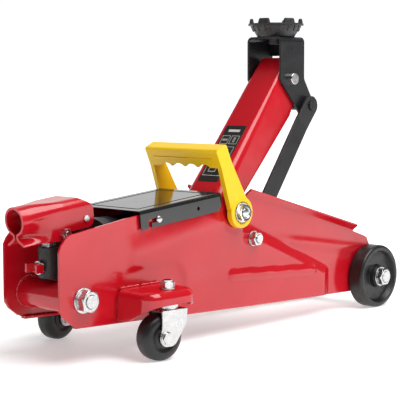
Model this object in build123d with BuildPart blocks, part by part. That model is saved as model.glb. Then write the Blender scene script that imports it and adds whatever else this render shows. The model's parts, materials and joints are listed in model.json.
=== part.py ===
from build123d import *
import os
from math import atan2, cos, hypot, radians, sin

os.makedirs("parts", exist_ok=True)

# Hydraulic floor jack, shown raised.  Millimetres, +X forwards, +Y to the jack's left, +Z up.
# The origin is on the ground below the middle of the jack.  Heights are from the ground, and
# every place along X is measured from the lifting arm's pivot, which stands at pivot_x.

# ---- lift linkage ----
pivot_height = 126.0
arm_length = 175.0
arm_angle = 50.7
arm_low_angle = -19.0
rod_ahead = 26.4
rod_below = 29.3
rod_bolt_radius = 4.0
pivot_shaft_radius = 9.0
arm_pin_radius = 6.2
rod_pin_radius = 5.0
web_offset = 15.5
arm_sheet = 2.5
lever_radius = 34.0
lever_pin_radius = 6.0

# ---- frame ----
sheet = 2.5
rear_length = 231.0
axle_ahead = 231.4
rear_step = 2.5
front_step = 6.5
lip_start = 18.0
lip_width = 6.0
nose_height = 89.0
tube_behind = 203.5
tube_height = 60.0
tube_radius = 14.0
rear_bolt_radius = 6.0
cover_sheet = 1.2
cover_rear = 136.0
cover_front = 24.0
cover_drop = 18.0
cover_room = 7.6
cover_rise = 10.6
cover_screw_ahead = 24.0
cover_screw_drop = 11.5
cover_screw_radius = 1.6

# ---- wheels ----
front_wheel_radius = 35.7
front_wheel_width = 19.2
axle_radius = 6.0
caster_radius = 22.4
caster_width = 18.6
caster_trail = 10.0
caster_turn = 8.0
caster_axle_radius = 4.0
stem_behind = 130.0
stem_radius = 5.0
swivel_tuck = 2.2
fork_sheet = 2.0
crown_gap = 1.2
skirt_gap = 0.8
bracket_depth = 17.2
bracket_sheet = 2.5

# ---- hydraulics ----
ram_height = 95.0
ram_radius = 11.0
cylinder_radius = 18.0
reservoir_radius = 34.0
reservoir_gap = 7.0
reservoir_wall = 2.5
reservoir_rear = 150.0
reservoir_front = 58.0
block_rear = 199.0
block_top = 110.0
plunger_radius = 4.5
valve_height = 88.0
valve_radius = 3.0
filler_behind = 110.0
filler_radius = 5.0

# ---- handle socket ----
mouth_behind = 249.2
mouth_height = 132.4
socket_tilt = 6.0
socket_bore = 11.2
socket_sheet = 2.3
socket_pivot_behind = 182.0
socket_pivot_height = 132.0
roller_behind = 208.0
roller_height = 120.0
roller_radius = 4.0
roller_bolt_radius = 2.5
cheek_half = 21.5
sleeve_length = 30.0

# ---- saddle and carry handle ----
bracket_half = 24.0
bracket_length = 39.5
bracket_rise = 45.4
saddle_radius = 30.2
saddle_height = 14.6
spigot_radius = 8.0
grip_reach = 74.0
grip_height = 20.0
grip_depth = 16.0
handle_lean = 24.4
eye_radius = 14.0
eye_width = 5.6

# ---- named clearances ----
running = 0.05
side_gap = 1.0
free_gap = 0.4
saddle_gap = 0.3

# ---- places worked out from the values above ----
rear_reach = mouth_behind + (socket_bore + socket_sheet) * sin(radians(socket_tilt))
front_reach = axle_ahead + front_wheel_radius
pivot_x = (rear_reach - front_reach) / 2
inner_half = reservoir_radius + reservoir_gap
middle_half = inner_half + sheet
rear_half = middle_half - rear_step
front_half = middle_half - front_step
arm_dir = (cos(radians(arm_angle)), 0, sin(radians(arm_angle)))
arm_up = (-sin(radians(arm_angle)), 0, cos(radians(arm_angle)))
tip_x = pivot_x + arm_length * arm_dir[0]
tip_z = pivot_height + arm_length * arm_dir[2]
front_axle_x = pivot_x + axle_ahead
tube_x = pivot_x - tube_behind
swing = (arm_angle - arm_low_angle) / 2
pin_x = pivot_x + lever_radius * sin(radians(swing))
pin_z = pivot_height - lever_radius * cos(radians(swing))
nose = axle_ahead - 26.0
cover_rear_height = ram_height + reservoir_radius + cover_room
cover_front_height = cover_rear_height + cover_rise
cover_slope = atan2(cover_rise, cover_rear - cover_front)
cover_length = hypot(cover_rise, cover_rear - cover_front)
cover_screw_x = (
    pivot_x - cover_rear + cover_screw_ahead * cos(cover_slope) + cover_screw_drop * sin(cover_slope)
)
cover_screw_z = (
    cover_rear_height + cover_screw_ahead * sin(cover_slope) - cover_screw_drop * cos(cover_slope)
)
fork_top = 2 * caster_radius + crown_gap + fork_sheet
skirt_height = fork_top + skirt_gap
platform_height = skirt_height + bracket_depth
stem_out = hypot(caster_trail + caster_radius, caster_width / 2) - swivel_tuck
stem_x = pivot_x - stem_behind
stem_y = middle_half + stem_out
cover_half = middle_half + free_gap + cover_sheet
eye_in = cover_half + free_gap
eye_out = eye_in + eye_width
rod_sheet = 3.0
rod_half_width = 10.5
rod_low_y = inner_half - 3.2
rod_top_y = front_half - sheet - 5.0
arm_low_half = inner_half - 15.0
arm_top_half = bracket_half - arm_sheet - side_gap


def side(y):
    """Vertical plane across the jack at y, drawn in X and Z; it extrudes towards -Y."""
    return Plane.XZ.offset(-y)


def bar(x, y_from, y_to, z, radius, mode=Mode.ADD):
    """Round bar across the jack, along Y."""
    with Locations(Location((x, (y_from + y_to) / 2, z), (90, 0, 0))):
        Cylinder(radius, abs(y_to - y_from), mode=mode)


def hexagon(x, y_from, y_to, z, across_flats, mode=Mode.ADD):
    """Hexagon prism along Y, for bolt heads and nuts."""
    with BuildSketch(side(max(y_from, y_to))) as face:
        with Locations((x, z)):
            RegularPolygon(across_flats / 2, 6, major_radius=False)
    extrude(face.sketch, amount=abs(y_to - y_from), mode=mode)


def outline(plane, corners):
    """Closed outline with rounded corners, from (x, y, corner radius) rows."""
    with BuildSketch(plane) as face:
        with BuildLine():
            points = [(x, y) for x, y, _ in corners]
            FilletPolyline(*points, radius=[r for _, _, r in corners], close=True)
        make_face()
    return face.sketch


def both_sides(left):
    """The same pieces again, mirrored to the right side of the jack."""
    add(left.part)
    mirror(left.part, about=Plane.XZ)


def save(piece, name):
    piece.part.label = name
    export_step(piece.part, f"parts/{name}.step")


# ---------------------------------------------------------------- frame side plates
# A pressed sheet on each side: straight at the back, widest in the middle and closing in
# towards the front wheels, with a lip bent outwards along the sloping top edge.
lip_top_height = cover_front_height - 6.2
top_edge = [
    (-rear_length, tube_height - 8, 14), (-rear_length, cover_rear_height - 26.6, 14),
    (-rear_length + 10.4, cover_rear_height - 16, 14),
    (-cover_rear, cover_rear_height - 4, 20), (-cover_front, cover_front_height - 4, 20),
    (lip_start - 6, lip_top_height + 2.5, 6), (lip_start, lip_top_height, 2),
]
front_edge = [
    (nose, nose_height, 6), (axle_ahead + 1, 80, 8), (axle_ahead + 11, 62, 12), (axle_ahead + 11, 36, 14),
    (axle_ahead - 6, 20, 12), (-tube_behind - 8, 36.4, 8),
]
plate_outline = [(pivot_x + x, z, r) for x, z, r in top_edge + front_edge]
plan_taper = (middle_half - front_half) / (nose - lip_start)
with BuildPart() as left_side_plate:
    with BuildSketch() as plan:
        with BuildLine():
            FilletPolyline(
                (pivot_x - rear_length - 2, rear_half),
                (pivot_x - rear_length + 66, rear_half),
                (pivot_x - rear_length + 81, middle_half),
                (pivot_x + lip_start, middle_half),
                (pivot_x + nose, front_half),
                (front_axle_x + 14, front_half),
                radius=12,
            )
            offset(amount=sheet, side=Side.RIGHT)
        make_face()
    extrude(amount=160)
    extrude(outline(side(middle_half + 4), plate_outline), amount=16, mode=Mode.INTERSECT)
    lip_from = Vector(pivot_x + lip_start, middle_half, lip_top_height)
    lip_to = Vector(pivot_x + nose, front_half, nose_height)
    lip_plane = Plane(origin=lip_from, x_dir=(0, 1, 0), z_dir=lip_to - lip_from)
    with BuildSketch(lip_plane):
        with BuildLine():
            Polyline(
                (-sheet, -4), (0, -4), (0, 0), (lip_width, lip_width),
                (lip_width - sheet * 0.7, lip_width + 1.8), (-sheet, 1), close=True,
            )
        make_face()
    extrude(amount=(lip_to - lip_from).length)
    bar(
        pivot_x, inner_half - 4, middle_half + 4, pivot_height, pivot_shaft_radius + running, Mode.SUBTRACT
    )
    bar(
        pivot_x + rod_ahead, inner_half - 8, middle_half + 4, pivot_height - rod_below,
        rod_bolt_radius + running, Mode.SUBTRACT,
    )
    bar(tube_x, 30, middle_half + 4, tube_height, rear_bolt_radius + running, Mode.SUBTRACT)
    bar(front_axle_x, 30, middle_half + 4, front_wheel_radius, axle_radius + running, Mode.SUBTRACT)
    bar(cover_screw_x, 30, middle_half + 4, cover_screw_z, cover_screw_radius, Mode.SUBTRACT)
save(left_side_plate, "left_side_plate")

with BuildPart() as right_side_plate:
    mirror(left_side_plate.part, about=Plane.XZ)
save(right_side_plate, "right_side_plate")

# ---------------------------------------------------------------- rear cross tube and its bolt
with BuildPart() as rear_cross_tube:
    bar(tube_x, sheet - rear_half, rear_half - sheet, tube_height, tube_radius)
    bar(tube_x, -rear_half, rear_half, tube_height, rear_bolt_radius + 0.5, Mode.SUBTRACT)
save(rear_cross_tube, "rear_cross_tube")

with BuildPart() as rear_bolt:
    bar(tube_x, -rear_half - 12, rear_half + 12, tube_height, rear_bolt_radius)
save(rear_bolt, "rear_bolt")

with BuildPart() as rear_nut_left:
    hexagon(tube_x, rear_half, rear_half + 10, tube_height, 19)
    bar(tube_x, rear_half - 1, rear_half + 11, tube_height, rear_bolt_radius, Mode.SUBTRACT)
with BuildPart() as rear_nuts:
    both_sides(rear_nut_left)
save(rear_nuts, "rear_nuts")

# ---------------------------------------------------------------- front axle
wheel_in = front_half + side_gap
wheel_out = wheel_in + front_wheel_width
with BuildPart() as front_axle:
    bar(front_axle_x, -wheel_out - 9, wheel_out + 9, front_wheel_radius, axle_radius)
save(front_axle, "front_axle")

with BuildPart() as front_spacer_tube:
    bar(front_axle_x, sheet - front_half, front_half - sheet, front_wheel_radius, axle_radius + 3)
    bar(front_axle_x, -front_half, front_half, front_wheel_radius, axle_radius + 0.5, Mode.SUBTRACT)
save(front_spacer_tube, "front_spacer_tube")

with BuildPart() as axle_nut_left:
    bar(front_axle_x, wheel_out + 0.4, wheel_out + 1.8, front_wheel_radius, 11)
    hexagon(front_axle_x, wheel_out + 1.8, wheel_out + 8, front_wheel_radius, 17.5)
    bar(front_axle_x, wheel_out, wheel_out + 10, front_wheel_radius, axle_radius, Mode.SUBTRACT)
with BuildPart() as front_axle_nuts:
    both_sides(axle_nut_left)
save(front_axle_nuts, "front_axle_nuts")


# ---------------------------------------------------------------- wheels
def wheel(centre_y, x, z, radius, width, hub_radius, bore, dish):
    """Solid wheel turned about Y, dished on both faces between the hub and the rim."""
    with BuildPart() as turned:
        with BuildSketch(Plane.XY) as half:
            with BuildLine():
                w = width / 2
                rim = radius * 0.86
                Polyline(
                    (bore, -w), (hub_radius, -w), (hub_radius + 1.5, dish - w), (rim - 2, dish - w),
                    (rim, -w), (radius - 2.2, -w), (radius, 3 - w), (radius, w - 3), (radius - 2.2, w),
                    (rim, w), (rim - 2, w - dish), (hub_radius + 1.5, w - dish), (hub_radius, w), (bore, w),
                    close=True,
                )
            make_face()
        revolve(axis=Axis.Y)
    return turned.part.moved(Location((x, centre_y, z)))


for sign, label in ((1, "left"), (-1, "right")):
    wheel_y = sign * (wheel_in + wheel_out) / 2
    with BuildPart() as front_wheel:
        add(
            wheel(
                wheel_y, front_axle_x, front_wheel_radius, front_wheel_radius, front_wheel_width,
                hub_radius=12, bore=axle_radius + running, dish=5.5,
            )
        )
    save(front_wheel, f"{label}_front_wheel")

# ---------------------------------------------------------------- caster brackets
# A pressed platform welded to each side plate: a flat top with a skirt, deeper beside the plate.
bracket_rear_x = stem_x - 34
bracket_front_x = stem_x + 28
bracket_out = stem_y + 14
skirt_low = skirt_height - 11.8
with BuildPart() as left_caster_bracket:
    plan_corners = [
        (bracket_rear_x, middle_half, 0), (bracket_front_x, middle_half, 0),
        (bracket_front_x, bracket_out, 12), (bracket_rear_x, bracket_out, 14),
    ]
    extrude(outline(Plane.XY.offset(skirt_low), plan_corners), amount=platform_height - skirt_low)
    inner_corners = [
        (bracket_rear_x + bracket_sheet, middle_half - 1, 0),
        (bracket_front_x - bracket_sheet, middle_half - 1, 0),
        (bracket_front_x - bracket_sheet, bracket_out - bracket_sheet, 12 - bracket_sheet),
        (bracket_rear_x + bracket_sheet, bracket_out - bracket_sheet, 14 - bracket_sheet),
    ]
    hollow_top = platform_height - bracket_sheet
    extrude(
        outline(Plane.XY.offset(skirt_low - 1), inner_corners), amount=hollow_top - skirt_low + 1,
        mode=Mode.SUBTRACT,
    )
    with Locations((stem_x + 8, stem_y, skirt_height)):
        Box(76, 70, 20, align=(Align.CENTER, Align.CENTER, Align.MAX), mode=Mode.SUBTRACT)
    with BuildSketch(Plane.YZ.offset(bracket_rear_x - 1)):
        with BuildLine():
            Polyline(
                (middle_half + 8, skirt_low - 1), (bracket_out + 5, skirt_low - 1),
                (bracket_out + 5, skirt_height), (bracket_out - 6, skirt_height), close=True,
            )
        make_face()
    extrude(amount=20, mode=Mode.SUBTRACT)
    with Locations((stem_x, stem_y, platform_height)):
        Cylinder(stem_radius + running, 12, mode=Mode.SUBTRACT)
save(left_caster_bracket, "left_caster_bracket")

with BuildPart() as right_caster_bracket:
    mirror(left_caster_bracket.part, about=Plane.XZ)
save(right_caster_bracket, "right_caster_bracket")

race_radius = 10.0
upright = (Align.CENTER, Align.CENTER, Align.MIN)
with BuildPart() as stem_left:
    with Locations((stem_x, stem_y, fork_top - fork_sheet)):
        Cylinder(stem_radius, platform_height + 8.5 - fork_top + fork_sheet, align=upright)
with BuildPart() as caster_stems:
    both_sides(stem_left)
save(caster_stems, "caster_stems")

with BuildPart() as stem_nut_left:
    with Locations((stem_x, stem_y, platform_height)):
        Cylinder(7, 1.4, align=upright)
    with BuildSketch(Plane.XY.offset(platform_height + 1.4)):
        with Locations((stem_x, stem_y)):
            RegularPolygon(6.5, 6, major_radius=False)
    extrude(amount=5.6)
    with Locations((stem_x, stem_y, platform_height + 4)):
        Cylinder(stem_radius, 20, mode=Mode.SUBTRACT)
with BuildPart() as caster_stem_nuts:
    both_sides(stem_nut_left)
save(caster_stem_nuts, "caster_stem_nuts")

# ---------------------------------------------------------------- casters
# Each fork is a bent plate that hangs under its bracket and swivels on the stem.  Both casters
# stand with their wheels behind the stems, toed in a little.
fork_gap = 0.7
fork_half = caster_width / 2 + fork_gap + fork_sheet


def caster(sign):
    """Fork, axle and wheel of one caster, drawn with its stem at the origin, then put in place."""
    with BuildPart() as fork:
        cheek = [
            (-14.5, fork_top, 1), (14.5, fork_top, 1), (13.5, caster_radius + 11.6, 12),
            (-caster_trail + 9.5, caster_radius - 8.4, 8.5), (-caster_trail - 9.5, caster_radius - 8.4, 8.5),
            (-14.5, caster_radius + 10.6, 12),
        ]
        extrude(outline(side(fork_half), cheek), amount=2 * fork_half)
        with Locations((0, 0, fork_top - fork_sheet)):
            Box(
                60, 2 * (fork_half - fork_sheet), 60,
                align=(Align.CENTER, Align.CENTER, Align.MAX), mode=Mode.SUBTRACT,
            )
        with Locations((0, 0, fork_top)):
            Cylinder(race_radius, platform_height - bracket_sheet - 0.3 - fork_top, align=upright)
        with Locations((0, 0, fork_top)):
            Cylinder(stem_radius + running, 60, mode=Mode.SUBTRACT)
        bar(-caster_trail, -20, 20, caster_radius, caster_axle_radius, Mode.SUBTRACT)
    with BuildPart() as axle:
        bar(-caster_trail, -fork_half - 1, fork_half + 1, caster_radius, caster_axle_radius)
        hexagon(-caster_trail, fork_half, fork_half + 3.4, caster_radius, 10)
        hexagon(-caster_trail, -fork_half - 3.4, -fork_half, caster_radius, 10)
    roller = wheel(
        0, -caster_trail, caster_radius, caster_radius, caster_width,
        hub_radius=9, bore=caster_axle_radius + running, dish=1.6,
    )
    place = Location((stem_x, sign * stem_y, 0), (0, 0, sign * caster_turn))
    return fork.part.moved(place), axle.part.moved(place), roller.moved(place)


for sign, label in ((1, "left"), (-1, "right")):
    fork_piece, axle_piece, wheel_piece = caster(sign)
    with BuildPart() as caster_fork:
        add(fork_piece)
    save(caster_fork, f"{label}_caster_fork")
    with BuildPart() as caster_axle:
        add(axle_piece)
    save(caster_axle, f"{label}_caster_axle")
    with BuildPart() as caster_wheel:
        add(wheel_piece)
    save(caster_wheel, f"{label}_caster_wheel")

# ---------------------------------------------------------------- top cover
# A thin black sheet bent down over both side plates, held by screws in open slots.
cover_origin = (pivot_x - cover_rear, 0, cover_rear_height)
cover_dir = (cos(cover_slope), 0, sin(cover_slope))
cover_plane = Plane(origin=cover_origin, x_dir=(0, 1, 0), z_dir=cover_dir)
cover_side = Plane(origin=cover_origin, x_dir=cover_dir, z_dir=(0, -1, 0))
slot_ahead = 12.0
slot_width = 4.0
with BuildPart() as top_cover:
    with BuildSketch(cover_plane):
        with BuildLine():
            FilletPolyline(
                (-cover_half, -cover_drop), (-cover_half, 0), (cover_half, 0), (cover_half, -cover_drop),
                radius=3.5,
            )
            offset(amount=cover_sheet, side=Side.RIGHT)
        make_face()
    extrude(amount=cover_length)
    with BuildSketch(cover_side) as slots:
        with Locations(((slot_ahead + cover_screw_ahead) / 2, -cover_screw_drop)):
            SlotCenterToCenter(cover_screw_ahead - slot_ahead, slot_width)
        with Locations((slot_ahead, -cover_screw_drop - 6)):
            Rectangle(slot_width, 12)
        with Locations((cover_length - 34, -cover_screw_drop + 1)):
            Circle(slot_width / 2)
        with Locations((cover_length, -cover_drop)):
            Rectangle(8, 8, rotation=45)
    extrude(slots.sketch, amount=60, both=True, mode=Mode.SUBTRACT)
save(top_cover, "top_cover")

with BuildPart() as screw_left:
    bar(cover_screw_x, middle_half - 2, cover_half + 0.4, cover_screw_z, cover_screw_radius)
    bar(cover_screw_x, cover_half, cover_half + 2.0, cover_screw_z, 3.6)
with BuildPart() as cover_screws:
    both_sides(screw_left)
save(cover_screws, "cover_screws")

# ---------------------------------------------------------------- power unit
# Cast block on the rear cross tube, with the pump boss behind it, the reservoir in front of it
# and the lift cylinder inside the reservoir.
block_half = reservoir_radius - 6
socket_pivot_x = pivot_x - socket_pivot_behind
roller_x = pivot_x - roller_behind
plunger_x = roller_x - 1.3
boss_radius = 10.0
boss_top = 106.0
boss_bottom = 78.0
ear_half = 8.0
ear_radius = 8.0
pivot_pin_radius = 3.0
with BuildPart() as power_unit_block:
    block_from = pivot_x - block_rear
    block_to = pivot_x - reservoir_rear - 8
    with Locations(((block_from + block_to) / 2, 0, (tube_height + tube_radius + block_top) / 2)):
        Box(block_to - block_from, 2 * block_half, block_top - tube_height - tube_radius)
    fillet(edges().filter_by(Axis.X), 5)
    with BuildSketch(Plane.YZ.offset(block_to)):
        with Locations((0, ram_height)):
            Circle(reservoir_radius)
    extrude(amount=8)
    with Locations((plunger_x, 0, boss_bottom)):
        Cylinder(boss_radius, boss_top - boss_bottom, align=upright)
    with Locations(((plunger_x + block_from + 4) / 2, 0, boss_bottom)):
        Box(block_from + 4 - plunger_x, 14, boss_top - boss_bottom - 8, align=upright)
    ear_rear = socket_pivot_x - ear_radius
    ear_front = socket_pivot_x + ear_radius
    ear_top = socket_pivot_height + ear_radius
    ear = [
        (ear_rear, block_top - 6, 0), (ear_rear, ear_top, ear_radius - 0.1),
        (ear_front, ear_top, ear_radius - 0.1), (ear_front, block_top - 6, 0),
    ]
    extrude(outline(side(ear_half), ear), amount=2 * ear_half)
    bar(socket_pivot_x, -20, 20, socket_pivot_height, pivot_pin_radius + running, Mode.SUBTRACT)
    with Locations((plunger_x, 0, boss_bottom + 2)):
        Cylinder(plunger_radius + running, 60, align=upright, mode=Mode.SUBTRACT)
    with Locations(Location((plunger_x - boss_radius, 0, valve_height), (0, 90, 0))):
        Cylinder(valve_radius + running, 8.4, mode=Mode.SUBTRACT)
save(power_unit_block, "power_unit_block")

reservoir_from = pivot_x - reservoir_rear
reservoir_to = pivot_x - reservoir_front


def tube_x_axis(x_from, x_to, outer, inner):
    """Tube along X on the ram's line."""
    with BuildSketch(Plane.YZ.offset(x_from)) as ring:
        with Locations((0, ram_height)):
            Circle(outer)
            if inner:
                Circle(inner, mode=Mode.SUBTRACT)
    extrude(ring.sketch, amount=x_to - x_from)


with BuildPart() as reservoir_tube:
    tube_x_axis(reservoir_from, reservoir_to, reservoir_radius, reservoir_radius - reservoir_wall)
    with Locations((pivot_x - filler_behind, 0, ram_height + reservoir_radius)):
        Cylinder(filler_radius, 20, mode=Mode.SUBTRACT)
save(reservoir_tube, "reservoir_tube")

with BuildPart() as lift_cylinder:
    tube_x_axis(reservoir_from, reservoir_to, cylinder_radius, ram_radius + 2)
save(lift_cylinder, "lift_cylinder")

with BuildPart() as cylinder_end_nut:
    tube_x_axis(reservoir_to, reservoir_to + 4, reservoir_radius, ram_radius + running)
    tube_x_axis(reservoir_to + 4, reservoir_to + 9, cylinder_radius, ram_radius + running)
save(cylinder_end_nut, "cylinder_end_nut")

with BuildPart() as oil_filler_plug:
    with Locations((pivot_x - filler_behind, 0, ram_height + reservoir_radius - reservoir_wall - 1)):
        Cylinder(filler_radius, 4, align=upright)
    with Locations((pivot_x - filler_behind, 0, ram_height + reservoir_radius + 0.4)):
        Cylinder(filler_radius + 1.5, 2.2, align=upright)
save(oil_filler_plug, "oil_filler_plug")

# The ram pushes the arm's lever through a crosshead with an upright slot for the lever pin.
crosshead_half = 13.0
pin_play = 1.0
pin_drop = lever_radius * (1 - cos(radians(swing)))
slot_low = pin_z - pin_drop - lever_pin_radius - pin_play
slot_high = pin_z + lever_pin_radius + pin_play
with BuildPart() as ram:
    tube_x_axis(reservoir_to - 30, pin_x - 14, ram_radius, 0)
    tube_x_axis(reservoir_to - 38, reservoir_to - 30, ram_radius + 2 - running, 0)
save(ram, "ram")

with BuildPart() as ram_crosshead:
    with Locations((pin_x - 14, 0, (slot_low + slot_high) / 2)):
        Box(27, 2 * crosshead_half, slot_high - slot_low + 9, align=(Align.MIN, Align.CENTER, Align.CENTER))
    fillet(edges().filter_by(Axis.Y), 3)
    slot_wide = 2 * (lever_pin_radius + pin_play)
    with Locations((pin_x, 0, (slot_low + slot_high) / 2)):
        Box(slot_wide, 60, slot_high - slot_low, mode=Mode.SUBTRACT)
save(ram_crosshead, "ram_crosshead")

# ---------------------------------------------------------------- pump plunger and release valve
plunger_top = roller_height - roller_radius - 0.4
with BuildPart() as pump_plunger:
    with Locations((plunger_x, 0, boss_bottom + 4)):
        Cylinder(plunger_radius, plunger_top - boss_bottom - 4, align=upright)
    with Locations((plunger_x, 0, plunger_top)):
        Cylinder(7, 2.6, align=(Align.CENTER, Align.CENTER, Align.MAX))
save(pump_plunger, "pump_plunger")

with BuildPart() as plunger_spring:
    wire = 0.9
    coil = plunger_radius + 0.6 + wire
    height = plunger_top - 2.6 - boss_top - 2 * wire
    with BuildLine(Plane.XY.offset(boss_top + wire)) as coil_line:
        Helix(pitch=height / 3, height=height, radius=coil, center=(plunger_x, 0, 0))
    with BuildSketch(Plane(origin=coil_line.line @ 0, z_dir=coil_line.line % 0)):
        Circle(wire)
    sweep(is_frenet=True)
save(plunger_spring, "plunger_spring")

valve_face = plunger_x - boss_radius
with BuildPart() as release_valve:
    with BuildSketch(Plane.YZ.offset(valve_face + 4)):
        with Locations((0, valve_height)):
            Circle(valve_radius)
    extrude(amount=-9)
    with BuildSketch(Plane.YZ.offset(valve_face - 0.5)):
        with Locations((0, valve_height)):
            Circle(6.5)
    extrude(amount=-3)
save(release_valve, "release_valve")

with BuildPart() as release_yoke:
    with Locations((valve_face - 3.5, 0, valve_height)):
        Box(8, 17, 8, align=(Align.MAX, Align.CENTER, Align.CENTER))
    with Locations((valve_face - 5.5, 0, valve_height)):
        Box(20, 12, 20, align=(Align.MAX, Align.CENTER, Align.CENTER), mode=Mode.SUBTRACT)
    with Locations(Location((valve_face - 4.5, 0, valve_height), (0, 90, 0))):
        Cylinder(valve_radius, 6, mode=Mode.SUBTRACT)
save(release_yoke, "release_yoke")

# ---------------------------------------------------------------- handle socket
# One piece of wrapped sheet: a round sleeve for the handle, pinched below, whose walls spread
# into two cheeks that straddle the pump.
socket_out = socket_bore + socket_sheet
tilt = radians(socket_tilt)
mouth = (pivot_x - mouth_behind, 0, mouth_height)
sleeve_plane = Plane(origin=mouth, x_dir=(0, 1, 0), z_dir=(cos(tilt), 0, sin(tilt)))
leg_low = -socket_out - 9.5
cheek_in = cheek_half - socket_sheet
cheek_spread = 4.0
spread_length = 10.0


def cheeks(plane, half, top):
    """Outer section of the two cheeks and their top, square with rounded corners."""
    with BuildSketch(plane) as section:
        with Locations((0, (leg_low + top) / 2)):
            RectangleRounded(2 * half, top - leg_low, 5)
    return section.sketch


def hollow(plane, half, top):
    """Section of the space between the cheeks, open below."""
    with BuildSketch(plane) as section:
        with Locations((0, -25)):
            Rectangle(2 * half, 50 + 2 * (top - socket_sheet))
    return section.sketch


with BuildPart() as handle_socket:
    with BuildSketch(sleeve_plane) as sleeve:
        Circle(socket_out)
        for hand in (1, -1):
            with BuildLine():
                Polyline(
                    (hand * 1.2, -socket_bore - 0.4), (hand * (1.2 + socket_sheet), -socket_bore - 1.4),
                    (hand * (cheek_half - cheek_spread), leg_low + 3),
                    (hand * (cheek_half - cheek_spread - 1), leg_low), close=True,
                )
            make_face()
        Circle(socket_bore, mode=Mode.SUBTRACT)
    extrude(sleeve.sketch, amount=sleeve_length)
    throat = sleeve_plane.offset(sleeve_length)
    loft([
        cheeks(throat, cheek_half - cheek_spread, socket_out - 1),
        cheeks(throat.offset(spread_length), cheek_half, socket_out - 1),
    ])
    loft([
        cheeks(throat.offset(spread_length), cheek_half, socket_out - 1),
        cheeks(throat.offset(36), cheek_half, socket_out - 3),
    ])
    nose_reach = 16.0
    nose_front = socket_pivot_x + nose_reach
    nose_low = socket_pivot_height - nose_reach
    nose_round = [
        (socket_pivot_x - 90, nose_low - 24, 0), (socket_pivot_x - 28, nose_low - 24, 0),
        (socket_pivot_x - 22, nose_low, 8), (nose_front, nose_low, nose_reach - 1),
        (nose_front, socket_pivot_height + 40, 0), (socket_pivot_x - 90, socket_pivot_height + 40, 0),
    ]
    extrude(outline(side(40), nose_round), amount=80, mode=Mode.INTERSECT)
    spread_hollow = [
        hollow(throat.offset(-0.1), cheek_in - cheek_spread, socket_out - 1),
        hollow(throat.offset(spread_length), cheek_in, socket_out - 1),
    ]
    loft(spread_hollow, mode=Mode.SUBTRACT)
    long_hollow = [
        hollow(throat.offset(spread_length), cheek_in, socket_out - 1),
        hollow(throat.offset(60), cheek_in, socket_out - 4),
    ]
    loft(long_hollow, mode=Mode.SUBTRACT)
    bar(socket_pivot_x, -40, 40, socket_pivot_height, pivot_pin_radius, Mode.SUBTRACT)
    bar(roller_x, -40, 40, roller_height, roller_bolt_radius, Mode.SUBTRACT)
save(handle_socket, "handle_socket")

with BuildPart() as socket_pivot_pin:
    bar(socket_pivot_x, -cheek_half - 1, cheek_half + 1, socket_pivot_height, pivot_pin_radius)
save(socket_pivot_pin, "socket_pivot_pin")

with BuildPart() as roller_bolt:
    bar(roller_x, -cheek_half - 5, cheek_half + 1, roller_height, roller_bolt_radius)
    hexagon(roller_x, -cheek_half - 4.5, -cheek_half, roller_height, 9)
    hexagon(roller_x, cheek_half, cheek_half + 4, roller_height, 9)
save(roller_bolt, "roller_bolt")

with BuildPart() as pump_roller:
    bar(roller_x, -6, 6, roller_height, roller_radius)
    bar(roller_x, -7, 7, roller_height, roller_bolt_radius, Mode.SUBTRACT)
save(pump_roller, "pump_roller")

# ---------------------------------------------------------------- lifting arm
# A tapered channel of folded sheet.  Its walls run on below the pivot as the lever that the
# ram pushes.
arm_side = Plane(origin=(pivot_x, 0, pivot_height), x_dir=arm_dir, z_dir=(0, -1, 0))
arm_plan = Plane(origin=(pivot_x, 0, pivot_height), x_dir=arm_dir, z_dir=arm_up)
arm_end = arm_length + 17
lever_turn = radians(arm_angle)
lever_at = (
    (pin_x - pivot_x) * cos(lever_turn) + (pin_z - pivot_height) * sin(lever_turn),
    -(pin_x - pivot_x) * sin(lever_turn) + (pin_z - pivot_height) * cos(lever_turn),
)
arm_start = -12.0
narrow_from = arm_length - 20.0


def arm_section(along, inset):
    """Square section of the channel's outside or inside, at a distance along the arm."""
    share = max(0.0, (along - arm_start) / (narrow_from - arm_start))
    half = arm_low_half + (arm_top_half - arm_low_half) * share - inset
    centre = Vector(pivot_x, 0, pivot_height) + Vector(*arm_dir) * along
    with BuildSketch(Plane(origin=centre, x_dir=(0, 1, 0), z_dir=arm_dir)) as section:
        with Locations((0, web_offset - inset - 45)):
            RectangleRounded(2 * half, 90, 5 - inset)
    return section.sketch


with BuildPart() as lift_arm:
    walls = [
        (arm_start, web_offset + 3, 8), (arm_end, web_offset + 3, 4), (arm_end, -4, 6),
        (arm_length - 2, -21, 10),
        (arm_length - 20, -24, 8), (arm_length - 30, -26, 8), (30, -web_offset, 30), (12, -17, 4),
        (lever_at[0] + 11, lever_at[1] + 2, 8), (lever_at[0] + 5, lever_at[1] - 12, 9),
        (lever_at[0] - 9, lever_at[1] - 10, 9), (lever_at[0] - 12, lever_at[1] + 6, 6), (-18, 0, 10),
    ]
    extrude(arm_section(arm_start, 0), amount=-60)
    loft([arm_section(arm_start, 0), arm_section(arm_end + 2, 0)])
    extrude(outline(arm_side.offset(-60), walls), amount=120, mode=Mode.INTERSECT)
    extrude(arm_section(arm_start, arm_sheet), amount=-60, mode=Mode.SUBTRACT)
    loft([arm_section(arm_start, arm_sheet), arm_section(arm_end + 2, arm_sheet)], mode=Mode.SUBTRACT)
    bar(pivot_x, -40, 40, pivot_height, pivot_shaft_radius + running, Mode.SUBTRACT)
    bar(tip_x, -40, 40, tip_z, arm_pin_radius, Mode.SUBTRACT)
    bar(pin_x, -40, 40, pin_z, lever_pin_radius, Mode.SUBTRACT)
save(lift_arm, "lift_arm")

with BuildPart() as lever_pin:
    bar(pin_x, -arm_low_half - 1.5, arm_low_half + 1.5, pin_z, lever_pin_radius)
save(lever_pin, "lever_pin")

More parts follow.
